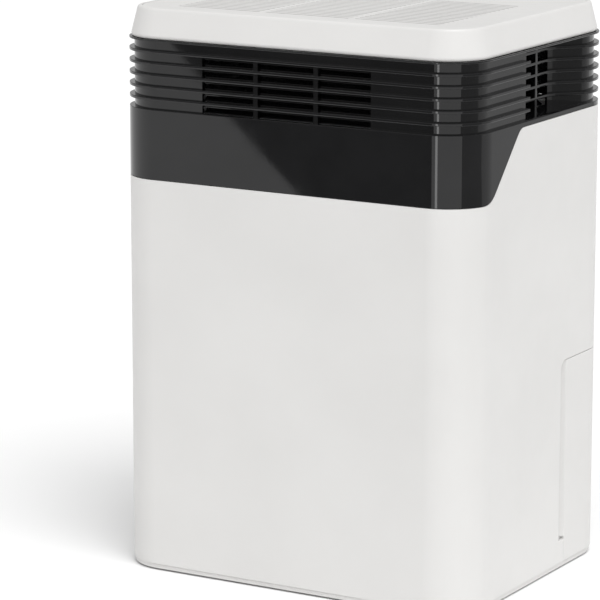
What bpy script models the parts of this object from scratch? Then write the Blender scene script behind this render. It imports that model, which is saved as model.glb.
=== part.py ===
"""Portable compressor dehumidifier with a pull-out rear water tank.

Frame: metres, +Z up, origin on the floor under the middle of the casing.
The louvred front faces -Y, and the tank and the air filter pull out towards +Y.
"""
import math

import bmesh
import bpy
from mathutils import Matrix, Vector

# ---------------------------------------------------------------- overall size
WIDTH = 0.350
DEPTH = 0.277
HEIGHT = 0.500
CORNER_RADIUS = 0.0415
WALL = 0.0025
ARC_STEPS = 6            # straight pieces in a quarter turn of the outside corners

# ------------------------------------------------------------------ clearances
GAP = 0.0003             # between pieces that touch
SEAM = 0.0006            # visible seam between the casing and the louvre band
SLIDE_GAP = 0.0005       # round pieces that slide out
OVERLAP = 0.0005         # how far two shapes of one piece are sunk into each other
BEYOND = 0.010           # how far a cutter runs past the face it cuts

# ------------------------------------------------------------------------ base
FOOT_HEIGHT = 0.003
FOOT_RADIUS = 0.012
FOOT_STEM_RADIUS = 0.004
FOOT_EDGE = 0.0005       # chamfer under the foot
FOOT_INSET = 0.046       # foot centre in from the casing's sides
PAN_THICKNESS = 0.0025
PAN_INSET = 0.0012

# ------------------------------------------------------------------ water tank
TANK_HEIGHT = 0.184
TANK_DEPTH = 0.0975
TANK_SEAM = 0.0012       # gap between the tank's top and the casing above it
GRIP_WIDTH = 0.010       # finger channel beside the tank, along the side
GRIP_DEPTH = 0.008
GRIP_FOOT = 0.0208       # height of the channel's foot above the tank's bottom
GRIP_ROUND = 0.009
LID_THICKNESS = 0.0025
LID_INLET_RADIUS = 0.015
SPOUT_RADIUS = 0.015
SPOUT_INSET = (0.026, 0.030)   # spout's middle in from the side and from the rear
WINDOW_WIDTH = 0.016
WINDOW_HEIGHT = 0.110
WINDOW_FOOT = 0.030
FLOAT_RADIUS = 0.021
FLOAT_HEIGHT = 0.022
FLOAT_X = 0.095
POST_RADIUS = 0.005

# ------------------------------------------------- louvre band, top to bottom
CAP_HEIGHT = 0.0264
LIP_THICKNESS = 0.0018
FIN_PITCH = 0.01025
FIN_THICKNESS = 0.0027
FIN_COUNT = 5
FIN_DEPTH = 0.0045
RIM_HEIGHT = 0.0035
SHELF_THICKNESS = 0.0024 # floor of the scoops and lower edge of the vents
VENT_SINK = 0.0012       # vents and skirt reach this far below the shelf's top
WALL_SINK = 0.0018
PANEL_HEIGHT = 0.061     # glossy front panel below the fins
SLANT_START = 0.0412     # where the panel's edge starts to rise, behind the front
SLANT_LENGTH = 0.0536
SLANT_LOW_ROUND = 0.026
SLANT_HIGH_ROUND = 0.015
VENT_WIDTH = 0.165
VENT_SHIFT = -0.0022     # vents' middle, sideways from the casing's middle
VENT_BARS = 0.0295       # each side of the middle
VENT_BAR_WIDTH = 0.0045

# ------------------------------------------------- hand scoops in the two sides
SCOOP_DEPTH = 0.024
SCOOP_FLAT = 0.0758      # length of the deep wall
SCOOP_IN_ROUND = 0.030   # hollow round where the wall starts to rise
SCOOP_OUT_ROUND = 0.022  # outward round where it meets the side
SCOOP_REAR = 0.003       # end of the scoop, before the rear corner's round
SCOOP_VENT_FRONT = 0.006
SCOOP_BAR_FROM_END = 0.0185
SCOOP_BAR_WIDTH = 0.004

# --------------------------------------------------------------------- top cap
CAP_INSET = 0.0020       # cap's widest line, in from the casing
CAP_ROLL = 0.0020        # rolled lower lip
CAP_LEAN = 0.0056        # how far the sides lean in
CAP_EDGE = 0.0015        # chamfer round the top
INSERT_MARGIN = 0.0030   # white rim round the grille and the control panel
INSERT_THICKNESS = 0.0025
LEDGE_WIDTH = 0.006
LEDGE_THICKNESS = 0.0025
PANEL_SEAM_Y = 0.0785    # seam between grille and control panel, in from the rear
SLAT_PITCH = 0.00845
SLOT_WIDTH = 0.0036
SLOT_SIDE_MARGIN = 0.035
SLOT_FRONT_MARGIN = 0.022
SLOT_REAR_MARGIN = 0.010
SLOT_COLUMNS = 3
SLOT_RIB = 0.005

# --------------------------------------------------------------- control panel
BUTTON_RADIUS = 0.0065
BUTTON_SKIRT = 0.0015
BUTTON_SKIRT_HEIGHT = 0.0015
BUTTON_EDGE = 0.0005
BUTTON_HEIGHT = 0.0075
BUTTON_CLEARANCE = 0.0004
BUTTON_PITCH = 0.030
BUTTON_FIRST = 0.055
LENS_WIDTH = 0.064
LENS_DEPTH = 0.022
BOARD_THICKNESS = 0.0016
BOARD_DROP = 0.0105      # board's top below the panel's top
BOARD_LENGTH = 0.200
BOARD_DEPTH = 0.040
BOARD_POST_RADIUS = 0.0025
BOARD_POST_INSET = 0.006     # post's middle inside the board's edges

# ------------------------------------------------------- rear cover and filter
COVER_WIDTH = 0.256
COVER_FOOT = 0.0050      # beam of casing below the cover
COVER_HEAD = 0.0049      # beam of casing above it
COVER_THICKNESS = 0.003
COVER_STRIP = 0.012      # screw strip behind the cover's edge
FILTER_WIDTH = 0.210
FILTER_HEIGHT = 0.1625
FILTER_FOOT = 0.0220     # cover below the filter
FILTER_DEPTH = 0.011
FILTER_RIM = 0.0025
FILTER_SLOT = 0.0054
FILTER_PITCH = 0.0090
FILTER_ROWS = 16
FILTER_COLUMNS = 3
FILTER_RIB = 0.005
MESH_THICKNESS = 0.0018
NOTCH_WIDTH = 0.044
NOTCH_HEIGHT = 0.0095
NOTCH_TUCK = 0.004       # notch's overlap with the filter's window
NOTCH_ROUND = 0.006
SCREW_HEAD_RADIUS = 0.0035
SCREW_HEAD_HEIGHT = 0.0018
SCREW_RADIUS = 0.0016
SCREW_LENGTH = 0.0055
SCREW_INSET = 0.0065
SCREW_END_ROOM = 0.012   # screw's middle from the cover's top and bottom
SCREW_EDGE = 0.0005      # round of the head
CROSS_LENGTH = 0.004
CROSS_WIDTH = 0.001
CROSS_DEPTH = 0.001
PORT_X = -0.085
PORT_RADIUS = 0.0055
PORT_BORE = 0.0035
PORT_RISE = 0.0143       # port's axis above the tray's underside
PLUG_LENGTH = 0.010
GLAND_X = 0.085
GLAND_RADIUS = 0.0075
GLAND_BORE = 0.0036
GLAND_FLANGE = 0.002     # thickness and width of the flange behind the cover

# --------------------------------------------------------------- inside pieces
FRAME_THICKNESS = 0.003
TRAY_HEIGHT = 0.0255
TRAY_WALL = 0.002
TRAY_SPOUT_X = -0.060
TRAY_SPOUT_RADIUS = 0.007
TRAY_SPOUT_BORE = 0.005
COIL_WIDTH = 0.236
COIL_HEIGHT = 0.182
EVAPORATOR_DEPTH = 0.024
CONDENSER_DEPTH = 0.026
COIL_SPACE = 0.007
COIL_PLATE = 0.0015
COIL_PLATE_LIP = 0.003
BAFFLE_THICKNESS = 0.0025
WHEEL_RADIUS = 0.080
WHEEL_INNER_RADIUS = 0.064
WHEEL_LENGTH = 0.045
WHEEL_PLATE = 0.0025
WHEEL_BLADES = 22
WHEEL_HOOP = 0.006       # radial width of the hoop that joins the blades' rear ends
HUB_RADIUS = 0.013
HUB_LENGTH = 0.020
INLET_RADIUS = 0.060
SCROLL_WALL = 0.0025
SCROLL_START = 0.008     # room round the wheel at the cut-off
SCROLL_GROWTH = 0.024    # extra radius where the duct starts
SCROLL_TONGUE = math.radians(60)
MOTOR_RADIUS = 0.038
MOTOR_LENGTH = 0.044
SHAFT_RADIUS = 0.003
SHAFT_END_DEPTH = 0.001  # shaft's ends inside the hub and the motor
MOTOR_ROUND = 0.004
STRAP_THICKNESS = 0.0022
STRAP_WIDTH = 0.014
STRAP_SETBACK = 0.016    # strap behind the motor's mounting face
STRAP_LEG_WIDTH = 0.010
STRAP_LEG_LENGTH = 0.012
COMPRESSOR_X = 0.058
COMPRESSOR_RADIUS = 0.052
COMPRESSOR_HEIGHT = 0.158
COMPRESSOR_DOME = 0.020
COMPRESSOR_EDGE = 0.006  # chamfer round the shell's foot
PLATE_THICKNESS = 0.0025
EAR_RADIUS = 0.070
EAR_ROUND = 0.011
GROMMET_RADIUS = 0.009
GROMMET_HEIGHT = 0.0115
GROMMET_LIP = 0.003
GROMMET_WAIST = 0.002    # depth of the groove round the grommet
STUD_RADIUS = 0.004
STUD_RISE = 0.004        # stud above the plate that it holds
TERMINAL_RADIUS = 0.015
TERMINAL_HEIGHT = 0.016
TERMINAL_EDGE = 0.002
ACCUMULATOR_RADIUS = 0.019
ACCUMULATOR_HEIGHT = 0.100
ACCUMULATOR_NECK = 0.008
ACCUMULATOR_SHOULDER = 0.010
ACCUMULATOR_RISE = 0.025 # its foot above the compressor's
PIPE_RADIUS = 0.0035
LIQUID_RADIUS = 0.00245
SUCTION_LIFT = 0.020     # lifts are heights above the drip tray's rim
SUCTION_REACH = 0.020    # reaches are distances beside the coils' end plates
RETURN_DROP = 0.012
DISCHARGE_X = 0.025      # where the discharge pipe leaves the shell, from its middle
DISCHARGE_Y = 0.005
DISCHARGE_STANDOFF = 0.0025
DISCHARGE_LIFT = 0.038
DISCHARGE_INLET_LIFT = 0.062
DISCHARGE_REACH = 0.010
DRIER_LIFT = 0.095
DRIER_SETBACK = 0.002    # drier's axis in front of the condenser's middle
DRIER_NECK = 0.003
DRIER_SHOULDER = 0.006
DRIER_REACH = 0.012
CAPILLARY_DROP = 0.012
LIQUID_RISE = 0.010
CAPILLARY_RADIUS = 0.0012
DRIER_RADIUS = 0.008
DRIER_LENGTH = 0.055
CAPACITOR_RADIUS = 0.0175
CAPACITOR_HEIGHT = 0.060
CAPACITOR_EDGE = 0.001
CAPACITOR_PLACE = (0.060, 0.050)   # in from the left side and from the front
BOX_WIDTH = 0.100
BOX_HEIGHT = 0.120
BOX_DEPTH = 0.030
BOX_WALL = 0.002
BOX_RISE = 0.0195        # box's underside above the pan
BOX_SIDE_ROOM = 0.020    # between the box and the casing's side
BOARD_STANDOFF = 0.004
BOARD_BLOCKS = {                   # place across and up the box, width, height, depth
    "relay": (0.012, 0.015, 0.020, 0.015, 0.015),
    "transformer": (0.050, 0.020, 0.035, 0.030, 0.017)}
BOARD_CAN = (0.030, 0.080, 0.008, 0.018)   # place across and up, radius, depth
SENSOR_GAP = 0.002
SENSOR_WIDTH = 0.008
SENSOR_HEIGHT = 0.022
SENSOR_DEPTH = 0.004
SENSOR_DROP = 0.018      # its top below the filter's top
SWITCH_DROP = 0.030      # switch's middle below the tank's top
SWITCH_WIDTH = 0.020
SWITCH_HEIGHT = 0.012
SWITCH_DEPTH = 0.008
SWITCH_TIP = 0.004
SWITCH_HOLE = 0.006

# ------------------------------------------------------- levels and places
FRONT = -DEPTH / 2
REAR = DEPTH / 2
SIDE = WIDTH / 2

PAN_TOP = FOOT_HEIGHT + PAN_THICKNESS
CASING_BOTTOM = PAN_TOP + GAP
TANK_BOTTOM = PAN_TOP + SLIDE_GAP
TANK_TOP = TANK_BOTTOM + TANK_HEIGHT
TANK_FRONT = REAR - TANK_DEPTH
ROOF_BOTTOM = TANK_TOP + TANK_SEAM + 0.0013
ROOF_TOP = ROOF_BOTTOM + WALL
BULKHEAD_FRONT = TANK_FRONT - GAP - FRAME_THICKNESS

CAP_BOTTOM = HEIGHT - CAP_HEIGHT
LIP_BOTTOM = CAP_BOTTOM - LIP_THICKNESS
LEDGE_TOP = LIP_BOTTOM - (FIN_PITCH - FIN_THICKNESS) - FIN_COUNT * FIN_PITCH
RIM_BOTTOM = LEDGE_TOP - RIM_HEIGHT
PANEL_BOTTOM = LEDGE_TOP - PANEL_HEIGHT
SCOOP_END = REAR - CORNER_RADIUS - SCOOP_REAR
SCOOP_FLAT_END = (SCOOP_END - SCOOP_DEPTH
                  - (math.sqrt(2) - 1) * (SCOOP_IN_ROUND + SCOOP_OUT_ROUND))
SCOOP_FRONT = SCOOP_FLAT_END - SCOOP_FLAT

COVER_BOTTOM = ROOF_TOP + COVER_FOOT
COVER_TOP = RIM_BOTTOM - SEAM - COVER_HEAD
COVER_SIDE = COVER_WIDTH / 2
STRIP_REAR = REAR - COVER_THICKNESS - GAP
FILTER_BOTTOM = COVER_BOTTOM + FILTER_FOOT
FILTER_TOP = FILTER_BOTTOM + FILTER_HEIGHT
FILTER_FRONT = REAR - FILTER_DEPTH

TRAY_BOTTOM = ROOF_TOP + GAP
TRAY_REAR = FILTER_FRONT - 0.0015
EVAPORATOR_REAR = TRAY_REAR - TRAY_WALL - 0.0035
EVAPORATOR_FRONT = EVAPORATOR_REAR - EVAPORATOR_DEPTH
CONDENSER_REAR = EVAPORATOR_FRONT - COIL_SPACE
CONDENSER_FRONT = CONDENSER_REAR - CONDENSER_DEPTH
TRAY_FRONT = CONDENSER_FRONT - 0.0035 - TRAY_WALL
COIL_BOTTOM = TRAY_BOTTOM + TRAY_WALL + GAP
BAFFLE_REAR = TRAY_FRONT - 0.002
BAFFLE_FRONT = BAFFLE_REAR - BAFFLE_THICKNESS
SCROLL_REAR = BAFFLE_FRONT - GAP
WHEEL_REAR = SCROLL_REAR - 0.004
WHEEL_FRONT = WHEEL_REAR - WHEEL_LENGTH
SCROLL_FRONT = WHEEL_FRONT - 0.005 - SCROLL_WALL
MOTOR_REAR = SCROLL_FRONT - GAP
MOTOR_FRONT = MOTOR_REAR - MOTOR_LENGTH
SCROLL_END_RADIUS = WHEEL_RADIUS + SCROLL_START + SCROLL_GROWTH
FAN_Z = ROOF_TOP + SCROLL_END_RADIUS + 0.002
DUCT_TOP = CAP_BOTTOM - 0.012

BAY_MIDDLE = (FRONT + WALL + BULKHEAD_FRONT) / 2
PLATE_BOTTOM = PAN_TOP + GAP + GROMMET_HEIGHT + GAP
PLATE_TOP = PLATE_BOTTOM + PLATE_THICKNESS
COMPRESSOR_BOTTOM = PLATE_TOP + GAP
COMPRESSOR_TOP = COMPRESSOR_BOTTOM + COMPRESSOR_HEIGHT
ACCUMULATOR_X = COMPRESSOR_X + COMPRESSOR_RADIUS + 0.004 + ACCUMULATOR_RADIUS
ACCUMULATOR_BOTTOM = COMPRESSOR_BOTTOM + ACCUMULATOR_RISE
ACCUMULATOR_TOP = ACCUMULATOR_BOTTOM + ACCUMULATOR_HEIGHT
DRIER_X = COIL_WIDTH / 2 + COIL_PLATE + DRIER_REACH + DRIER_RADIUS + 0.0025

INSERT_TOP = HEIGHT - GAP
INSERT_BOTTOM = INSERT_TOP - INSERT_THICKNESS
LEDGE_ROOF = INSERT_BOTTOM - GAP
CAP_TOP_INSET = CAP_INSET + CAP_LEAN + CAP_EDGE
INSERT_INSET = CAP_TOP_INSET + INSERT_MARGIN
SEAM_Y = REAR - PANEL_SEAM_Y
PANEL_MIDDLE = (SEAM_Y + REAR - INSERT_INSET) / 2
BOARD_TOP = INSERT_TOP - BOARD_DROP


# ----------------------------------------------------------- scene and groups
def clear_scene():
    for thing in list(bpy.data.objects):
        bpy.data.objects.remove(thing, do_unlink=True)


def new_collection(name):
    group = bpy.data.collections.new(name)
    bpy.context.scene.collection.children.link(group)
    return group


clear_scene()
PARTS = new_collection("dehumidifier")
CUTTERS = new_collection("cutters")


# ------------------------------------------------------------------- materials
def material(name, colour, roughness, metallic=0.0):
    finish = bpy.data.materials.new(name)
    finish.use_nodes = True
    shader = finish.node_tree.nodes["Principled BSDF"]
    shader.inputs["Base Color"].default_value = (*colour, 1.0)
    shader.inputs["Roughness"].default_value = roughness
    shader.inputs["Metallic"].default_value = metallic
    finish.diffuse_color = (*colour, 1.0)
    return finish


WHITE = material("white_shell", (0.80, 0.80, 0.79), 0.45)
BLACK = material("gloss_black", (0.020, 0.020, 0.021), 0.12)
GREY = material("grey_plastic", (0.35, 0.36, 0.37), 0.50)
DARK = material("dark_plastic", (0.05, 0.05, 0.055), 0.50)
SMOKE = material("smoke_lens", (0.06, 0.07, 0.08), 0.08)
RUBBER = material("rubber", (0.03, 0.03, 0.03), 0.80)
STEEL = material("steel", (0.55, 0.56, 0.58), 0.35, 1.0)
PAINTED = material("black_paint", (0.03, 0.03, 0.032), 0.40)
COPPER = material("copper", (0.72, 0.38, 0.22), 0.30, 1.0)
ALUMINIUM = material("aluminium", (0.75, 0.76, 0.78), 0.35, 1.0)
GREEN = material("circuit_board", (0.03, 0.17, 0.08), 0.45)
FOAM = material("white_foam", (0.85, 0.85, 0.84), 0.70)


# -------------------------------------------------------------- plane outlines
def arc(centre, radius, start, end, steps):
    """Points on a round from one angle to another, ends included."""
    angles = [start + (end - start) * i / steps for i in range(steps + 1)]
    return [(centre[0] + radius * math.cos(a), centre[1] + radius * math.sin(a)) for a in angles]


def circle(centre, radius, steps):
    return arc(centre, radius, 0.0, 2 * math.pi, steps)[:-1]


def rectangle(low, high):
    return [(low[0], low[1]), (high[0], low[1]), (high[0], high[1]), (low[0], high[1])]


def rounded_rectangle(low, high, radius, steps):
    quarter = math.pi / 2
    centres = ((high[0] - radius, low[1] + radius), (high[0] - radius, high[1] - radius),
               (low[0] + radius, high[1] - radius), (low[0] + radius, low[1] + radius))
    points = []
    for i, centre in enumerate(centres):
        points += arc(centre, radius, (i - 1) * quarter, i * quarter, steps)
    return points


def inset(points, distance):
    """Move every side of an anticlockwise outline inwards by one distance."""
    moved = []
    count = len(points)
    for i in range(count):
        here = Vector(points[i])
        before = (here - Vector(points[i - 1])).normalized()
        after = (Vector(points[(i + 1) % count]) - here).normalized()
        normal_before = Vector((-before.y, before.x))
        normal_after = Vector((-after.y, after.x))
        middle = normal_before + normal_after
        moved.append(tuple(here + middle * (distance / (1 + normal_before.dot(normal_after)))))
    return moved


def rounded_corner(before, corner, after, radius, steps):
    """Points of the round that replaces one corner of a line."""
    back = (Vector(before) - Vector(corner)).normalized()
    onward = (Vector(after) - Vector(corner)).normalized()
    half = back.angle(onward) / 2
    centre = Vector(corner) + (back + onward).normalized() * (radius / math.sin(half))
    first = Vector(corner) + back * (radius / math.tan(half)) - centre
    last = Vector(corner) + onward * (radius / math.tan(half)) - centre
    start = math.atan2(first.y, first.x)
    turn = math.remainder(math.atan2(last.y, last.x) - start, 2 * math.pi)
    return arc(centre, radius, start, start + turn, steps)


def casing_outline(distance=0.0):
    """The casing seen from above, with its sides moved in by a distance."""
    outline = rounded_rectangle((-SIDE, FRONT), (SIDE, REAR), CORNER_RADIUS, ARC_STEPS)
    return inset(outline, distance) if distance else outline


def scoop_side(front):
    """Right-hand side of the louvre band's outline, from front to rear."""
    deep = SIDE - SCOOP_DEPTH
    eighth = math.pi / 4
    rise = arc((deep + SCOOP_IN_ROUND, SCOOP_FLAT_END), SCOOP_IN_ROUND,
               4 * eighth, 3 * eighth, ARC_STEPS // 2)
    crest = arc((SIDE - SCOOP_OUT_ROUND, SCOOP_END), SCOOP_OUT_ROUND, -eighth, 0.0, ARC_STEPS // 2)
    return [(SIDE, front), (deep, front)] + rise + crest


def band_outline(scoop_front):
    """The louvre band seen from above: the casing with a scoop in each side."""
    corners = casing_outline()
    quarter = ARC_STEPS + 1
    right = scoop_side(scoop_front)
    left = [(-x, y) for x, y in reversed(right)]
    return corners[:quarter] + right + corners[quarter:3 * quarter] + left + corners[3 * quarter:]


def tank_outline():
    """The tank seen from above, with a slope at each side that makes the finger channel."""
    front = TANK_FRONT + SLIDE_GAP
    ramp = front + GRIP_WIDTH
    rear = casing_outline()[ARC_STEPS + 1:3 * (ARC_STEPS + 1)]
    return [(SIDE - GRIP_DEPTH, front), (SIDE, ramp)] + rear + [(-SIDE, ramp), (GRIP_DEPTH - SIDE, front)]


def parting_line(drop):
    """Lower edge of the glossy panel seen from the side: level, rising, then level."""
    start = (FRONT + SLANT_START, PANEL_BOTTOM - drop)
    end = (FRONT + SLANT_START + SLANT_LENGTH, RIM_BOTTOM - drop)
    far_front = (FRONT - BEYOND, start[1])
    far_rear = (REAR + BEYOND, end[1])
    line = [far_front]
    line += rounded_corner(far_front, start, end, SLANT_LOW_ROUND, ARC_STEPS // 2)
    line += rounded_corner(start, end, far_rear, SLANT_HIGH_ROUND, ARC_STEPS // 2)
    return line + [far_rear]


# ------------------------------------------------------------- solid builders
TURNS = {"Z": Matrix.Identity(4),
         "Y": Matrix.Rotation(math.pi / 2, 4, "X"),
         "X": Matrix(((0, 0, 1, 0), (1, 0, 0, 0), (0, 1, 0, 0), (0, 0, 0, 1)))}


def place(name, mesh, finish, group=PARTS):
    thing = bpy.data.objects.new(name, mesh)
    group.objects.link(thing)
    if finish is not None:
        mesh.materials.clear()
        mesh.materials.append(finish)
    if group is CUTTERS:
        thing.hide_render = True
        thing.display_type = "WIRE"
    return thing


def smooth(thing, degrees=30):
    thing.data.shade_smooth()
    thing.data.set_sharp_from_angle(angle=math.radians(degrees))
    return thing


def clean_mesh(mesh):
    """Weld a curve's caps to its sides and point every face outwards."""
    shape = bmesh.new()
    shape.from_mesh(mesh)
    bmesh.ops.remove_doubles(shape, verts=shape.verts, dist=0.00001)
    bmesh.ops.recalc_face_normals(shape, faces=shape.faces)
    shape.to_mesh(mesh)
    shape.free()


def curve_to_mesh(name, curve, matrix, finish, group):
    """Turn a curve into a mesh object at the same place."""
    wire = bpy.data.objects.new(name + "_curve", curve)
    bpy.context.scene.collection.objects.link(wire)
    wire.matrix_world = matrix
    bpy.context.view_layer.update()
    solid = wire.evaluated_get(bpy.context.evaluated_depsgraph_get())
    mesh = bpy.data.meshes.new_from_object(solid)
    mesh.name = name
    clean_mesh(mesh)
    thing = place(name, mesh, finish, group)
    thing.matrix_world = wire.matrix_world
    bpy.data.objects.remove(wire, do_unlink=True)
    return thing


def prism(name, outline, low, high, finish=None, axis="Z", group=PARTS):
    """A flat outline given thickness along an axis.

    The outline is in (x, y) for Z, in (x, z) for Y and in (y, z) for X.
    """
    curve = bpy.data.curves.new(name, "CURVE")
    curve.dimensions = "2D"
    curve.fill_mode = "BOTH"
    curve.extrude = (high - low) / 2
    spline = curve.splines.new("POLY")
    spline.points.add(len(outline) - 1)
    for point, (u, v) in zip(spline.points, outline):
        point.co = (u, v, 0.0, 1.0)
    spline.use_cyclic_u = True
    middle = (low + high) / 2
    offset = {"Z": (0, 0, middle), "Y": (0, middle, 0), "X": (middle, 0, 0)}[axis]
    return curve_to_mesh(name, curve, Matrix.Translation(offset) @ TURNS[axis], finish, group)


def block(name, low, high, finish=None, group=PARTS):
    """A box between two opposite corners."""
    shape = bmesh.new()
    size = [b - a for a, b in zip(low, high)]
    bmesh.ops.create_cube(shape, size=1.0, matrix=Matrix.Diagonal((*size, 1.0)))
    mesh = bpy.data.meshes.new(name)
    shape.to_mesh(mesh)
    shape.free()
    thing = place(name, mesh, finish, group)
    thing.location = [(a + b) / 2 for a, b in zip(low, high)]
    return thing


def turned(name, profile, centre, finish=None, axis="Z", steps=20, group=PARTS):
    """A profile of (radius, height) points turned round an axis.

    The profile runs from the top to the bottom along its outer side. The height
    goes along +Z for Z, and along -Y for Y.
    """
    shape = bmesh.new()
    verts = [shape.verts.new((r, 0.0, h)) for r, h in profile]
    for a, b in zip(verts, verts[1:]):
        shape.edges.new((a, b))
    if profile[0][0] > 0:
        shape.edges.new((verts[-1], verts[0]))
    mesh = bpy.data.meshes.new(name)
    shape.to_mesh(mesh)
    shape.free()
    thing = place(name, mesh, finish, group)
    screw = thing.modifiers.new("turn", "SCREW")
    screw.steps = steps
    screw.render_steps = steps
    screw.use_merge_vertices = True
    screw.merge_threshold = 0.00001
    screw.use_smooth_shade = True
    thing.matrix_world = Matrix.Translation(centre) @ TURNS[axis]
    return thing


def rod(name, radius, low, high, centre, finish=None, axis="Z", steps=16, group=PARTS):
    """A plain round bar along an axis; centre gives its two other coordinates."""
    thing = prism(name, circle(centre, radius, steps), low, high, finish, axis, group)
    return smooth(thing)


def pipe(name, points, radius, finish):
    """A bent tube with closed ends."""
    curve = bpy.data.curves.new(name, "CURVE")
    curve.dimensions = "3D"
    curve.bevel_depth = radius
    curve.bevel_resolution = 2
    curve.use_fill_caps = True
    spline = curve.splines.new("POLY")
    spline.points.add(len(points) - 1)
    for point, co in zip(spline.points, points):
        point.co = (*co, 1.0)
    return smooth(curve_to_mesh(name, curve, Matrix.Identity(4), finish, PARTS), 60)


def bent_path(points, radius, steps=3):
    """Round the corners of a path of straight runs."""
    path = [Vector(points[0])]
    for before, corner, after in zip(points, points[1:], points[2:]):
        before, corner, after = Vector(before), Vector(corner), Vector(after)
        start = corner + (before - corner).normalized() * radius
        end = corner + (after - corner).normalized() * radius
        for i in range(steps + 1):
            t = i / steps
            path.append(start * (1 - t) ** 2 + corner * 2 * t * (1 - t) + end * t ** 2)
    path.append(Vector(points[-1]))
    return path


def combine(target, tools, operation):
    for tool in tools:
        if tool.name in PARTS.objects:
            PARTS.objects.unlink(tool)
            CUTTERS.objects.link(tool)
        tool.hide_render = True
        tool.display_type = "WIRE"
        step = target.modifiers.new(tool.name, "BOOLEAN")
        step.operation = operation
        step.solver = "EXACT"
        step.object = tool
    return target


def cut(target, *tools):
    return combine(target, tools, "DIFFERENCE")


def fuse(target, *tools):
    return combine(target, tools, "UNION")


def ring(name, outer, inner, low, high, finish=None, axis="Z"):
    """A plate with a hole of any outline."""
    plate = prism(name, outer, low, high, finish, axis)
    return cut(plate, prism(name + "_hole", inner, low - BEYOND, high + BEYOND, None, axis, CUTTERS))


def grid_cutter(name, columns, rows, low, high, axis):
    """Separate boxes for a grid of slots: columns and rows are lists of (start, end)."""
    shape = bmesh.new()
    for left, right in columns:
        for bottom, top in rows:
            size = (right - left, high - low, top - bottom)
            middle = ((left + right) / 2, (low + high) / 2, (bottom + top) / 2)
            if axis == "Z":
                size = (size[0], size[2], size[1])
                middle = (middle[0], middle[2], middle[1])
            matrix = Matrix.Translation(middle) @ Matrix.Diagonal((*size, 1.0))
            bmesh.ops.create_cube(shape, size=1.0, matrix=matrix)
    mesh = bpy.data.meshes.new(name)
    shape.to_mesh(mesh)
    shape.free()
    return place(name, mesh, None, CUTTERS)


def spans(low, high, count, bar):
    """Split a length into equal openings with a bar between neighbours."""
    width = (high - low - bar * (count - 1)) / count
    return [(low + i * (width + bar), low + i * (width + bar) + width) for i in range(count)]


# ------------------------------------------------------------- base and feet
def foot_places():
    x = SIDE - FOOT_INSET
    y = REAR - FOOT_INSET
    return {"foot_front_left": (-x, -y), "foot_front_right": (x, -y),
            "foot_rear_left": (-x, y), "foot_rear_right": (x, y)}


def stud_places():
    angles = [math.radians(a) for a in (90, 210, 330)]
    return [(COMPRESSOR_X + EAR_RADIUS * math.cos(a), BAY_MIDDLE + EAR_RADIUS * math.sin(a))
            for a in angles]


def make_base():
    pan = prism("base_pan", casing_outline(PAN_INSET), FOOT_HEIGHT, PAN_TOP, WHITE)
    for i, centre in enumerate(stud_places()):
        fuse(pan, rod(f"base_stud_{i}", STUD_RADIUS, FOOT_HEIGHT + OVERLAP, PLATE_TOP + STUD_RISE, centre))
    for name, centre in foot_places().items():
        cut(pan, rod(name + "_hole", FOOT_STEM_RADIUS + GAP, FOOT_HEIGHT - BEYOND, PAN_TOP + BEYOND / 4,
                     centre, group=CUTTERS))
    for name, (x, y) in foot_places().items():
        pad = FOOT_HEIGHT - GAP
        profile = [(0.0, PAN_TOP), (FOOT_STEM_RADIUS, PAN_TOP), (FOOT_STEM_RADIUS, pad),
                   (FOOT_RADIUS, pad), (FOOT_RADIUS, FOOT_EDGE), (FOOT_RADIUS - FOOT_EDGE, 0.0), (0.0, 0.0)]
        turned(name, profile, (x, y, 0.0), RUBBER, steps=16)


# ------------------------------------------------------------------ the casing
def tank_bay_cutter():
    """Side view of the room that the tank needs, with the channel's rounded top corner."""
    edge = TANK_TOP + TANK_SEAM
    foot = TANK_BOTTOM + GRIP_FOOT
    step = TANK_FRONT + GRIP_WIDTH + SLIDE_GAP - GAP
    far = REAR + BEYOND
    corner = rounded_corner((TANK_FRONT, foot), (TANK_FRONT, edge), (far, edge), GRIP_ROUND, ARC_STEPS // 2)
    outline = [(step, CASING_BOTTOM - BEYOND), (step, foot), (TANK_FRONT, foot)] + corner
    outline += [(far, edge), (far, CASING_BOTTOM - BEYOND)]
    return prism("tank_bay", outline, -SIDE - BEYOND, SIDE + BEYOND, None, "X", CUTTERS)


def make_casing():
    top = LEDGE_TOP
    casing = prism("main_casing", casing_outline(), CASING_BOTTOM, top, WHITE)
    inside = prism("casing_inside", casing_outline(WALL), CASING_BOTTOM - BEYOND, top + BEYOND,
                   None, "Z", CUTTERS)
    line = parting_line(SEAM)
    above = line + [(REAR + BEYOND, HEIGHT), (FRONT - BEYOND, HEIGHT)]
    edge = prism("casing_edge", above, -SIDE - BEYOND, SIDE + BEYOND, None, "X", CUTTERS)
    window = block("rear_window", (-COVER_SIDE, REAR - WALL - BEYOND, COVER_BOTTOM),
                   (COVER_SIDE, REAR + BEYOND, COVER_TOP), group=CUTTERS)
    cut(casing, inside, edge, tank_bay_cutter(), window)
    inner = COVER_SIDE - COVER_STRIP
    outer = COVER_SIDE + 0.004
    for side, name in ((-1, "left"), (1, "right")):
        outline = [(inner, STRIP_REAR - FRAME_THICKNESS), (outer, STRIP_REAR - FRAME_THICKNESS),
                   (outer, REAR - WALL + OVERLAP), (COVER_SIDE + GAP, REAR - WALL + OVERLAP),
                   (COVER_SIDE + GAP, STRIP_REAR), (inner, STRIP_REAR)]
        outline = [(side * x, y) for x, y in outline]
        fuse(casing, prism(f"screw_strip_{name}", outline, COVER_BOTTOM, COVER_TOP))
    for i, (x, z) in enumerate(screw_places()):
        cut(casing, rod(f"strip_hole_{i}", SCREW_RADIUS + GAP, STRIP_REAR - BEYOND, STRIP_REAR + BEYOND / 5,
                        (x, z), None, "Y", 12, CUTTERS))


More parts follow.
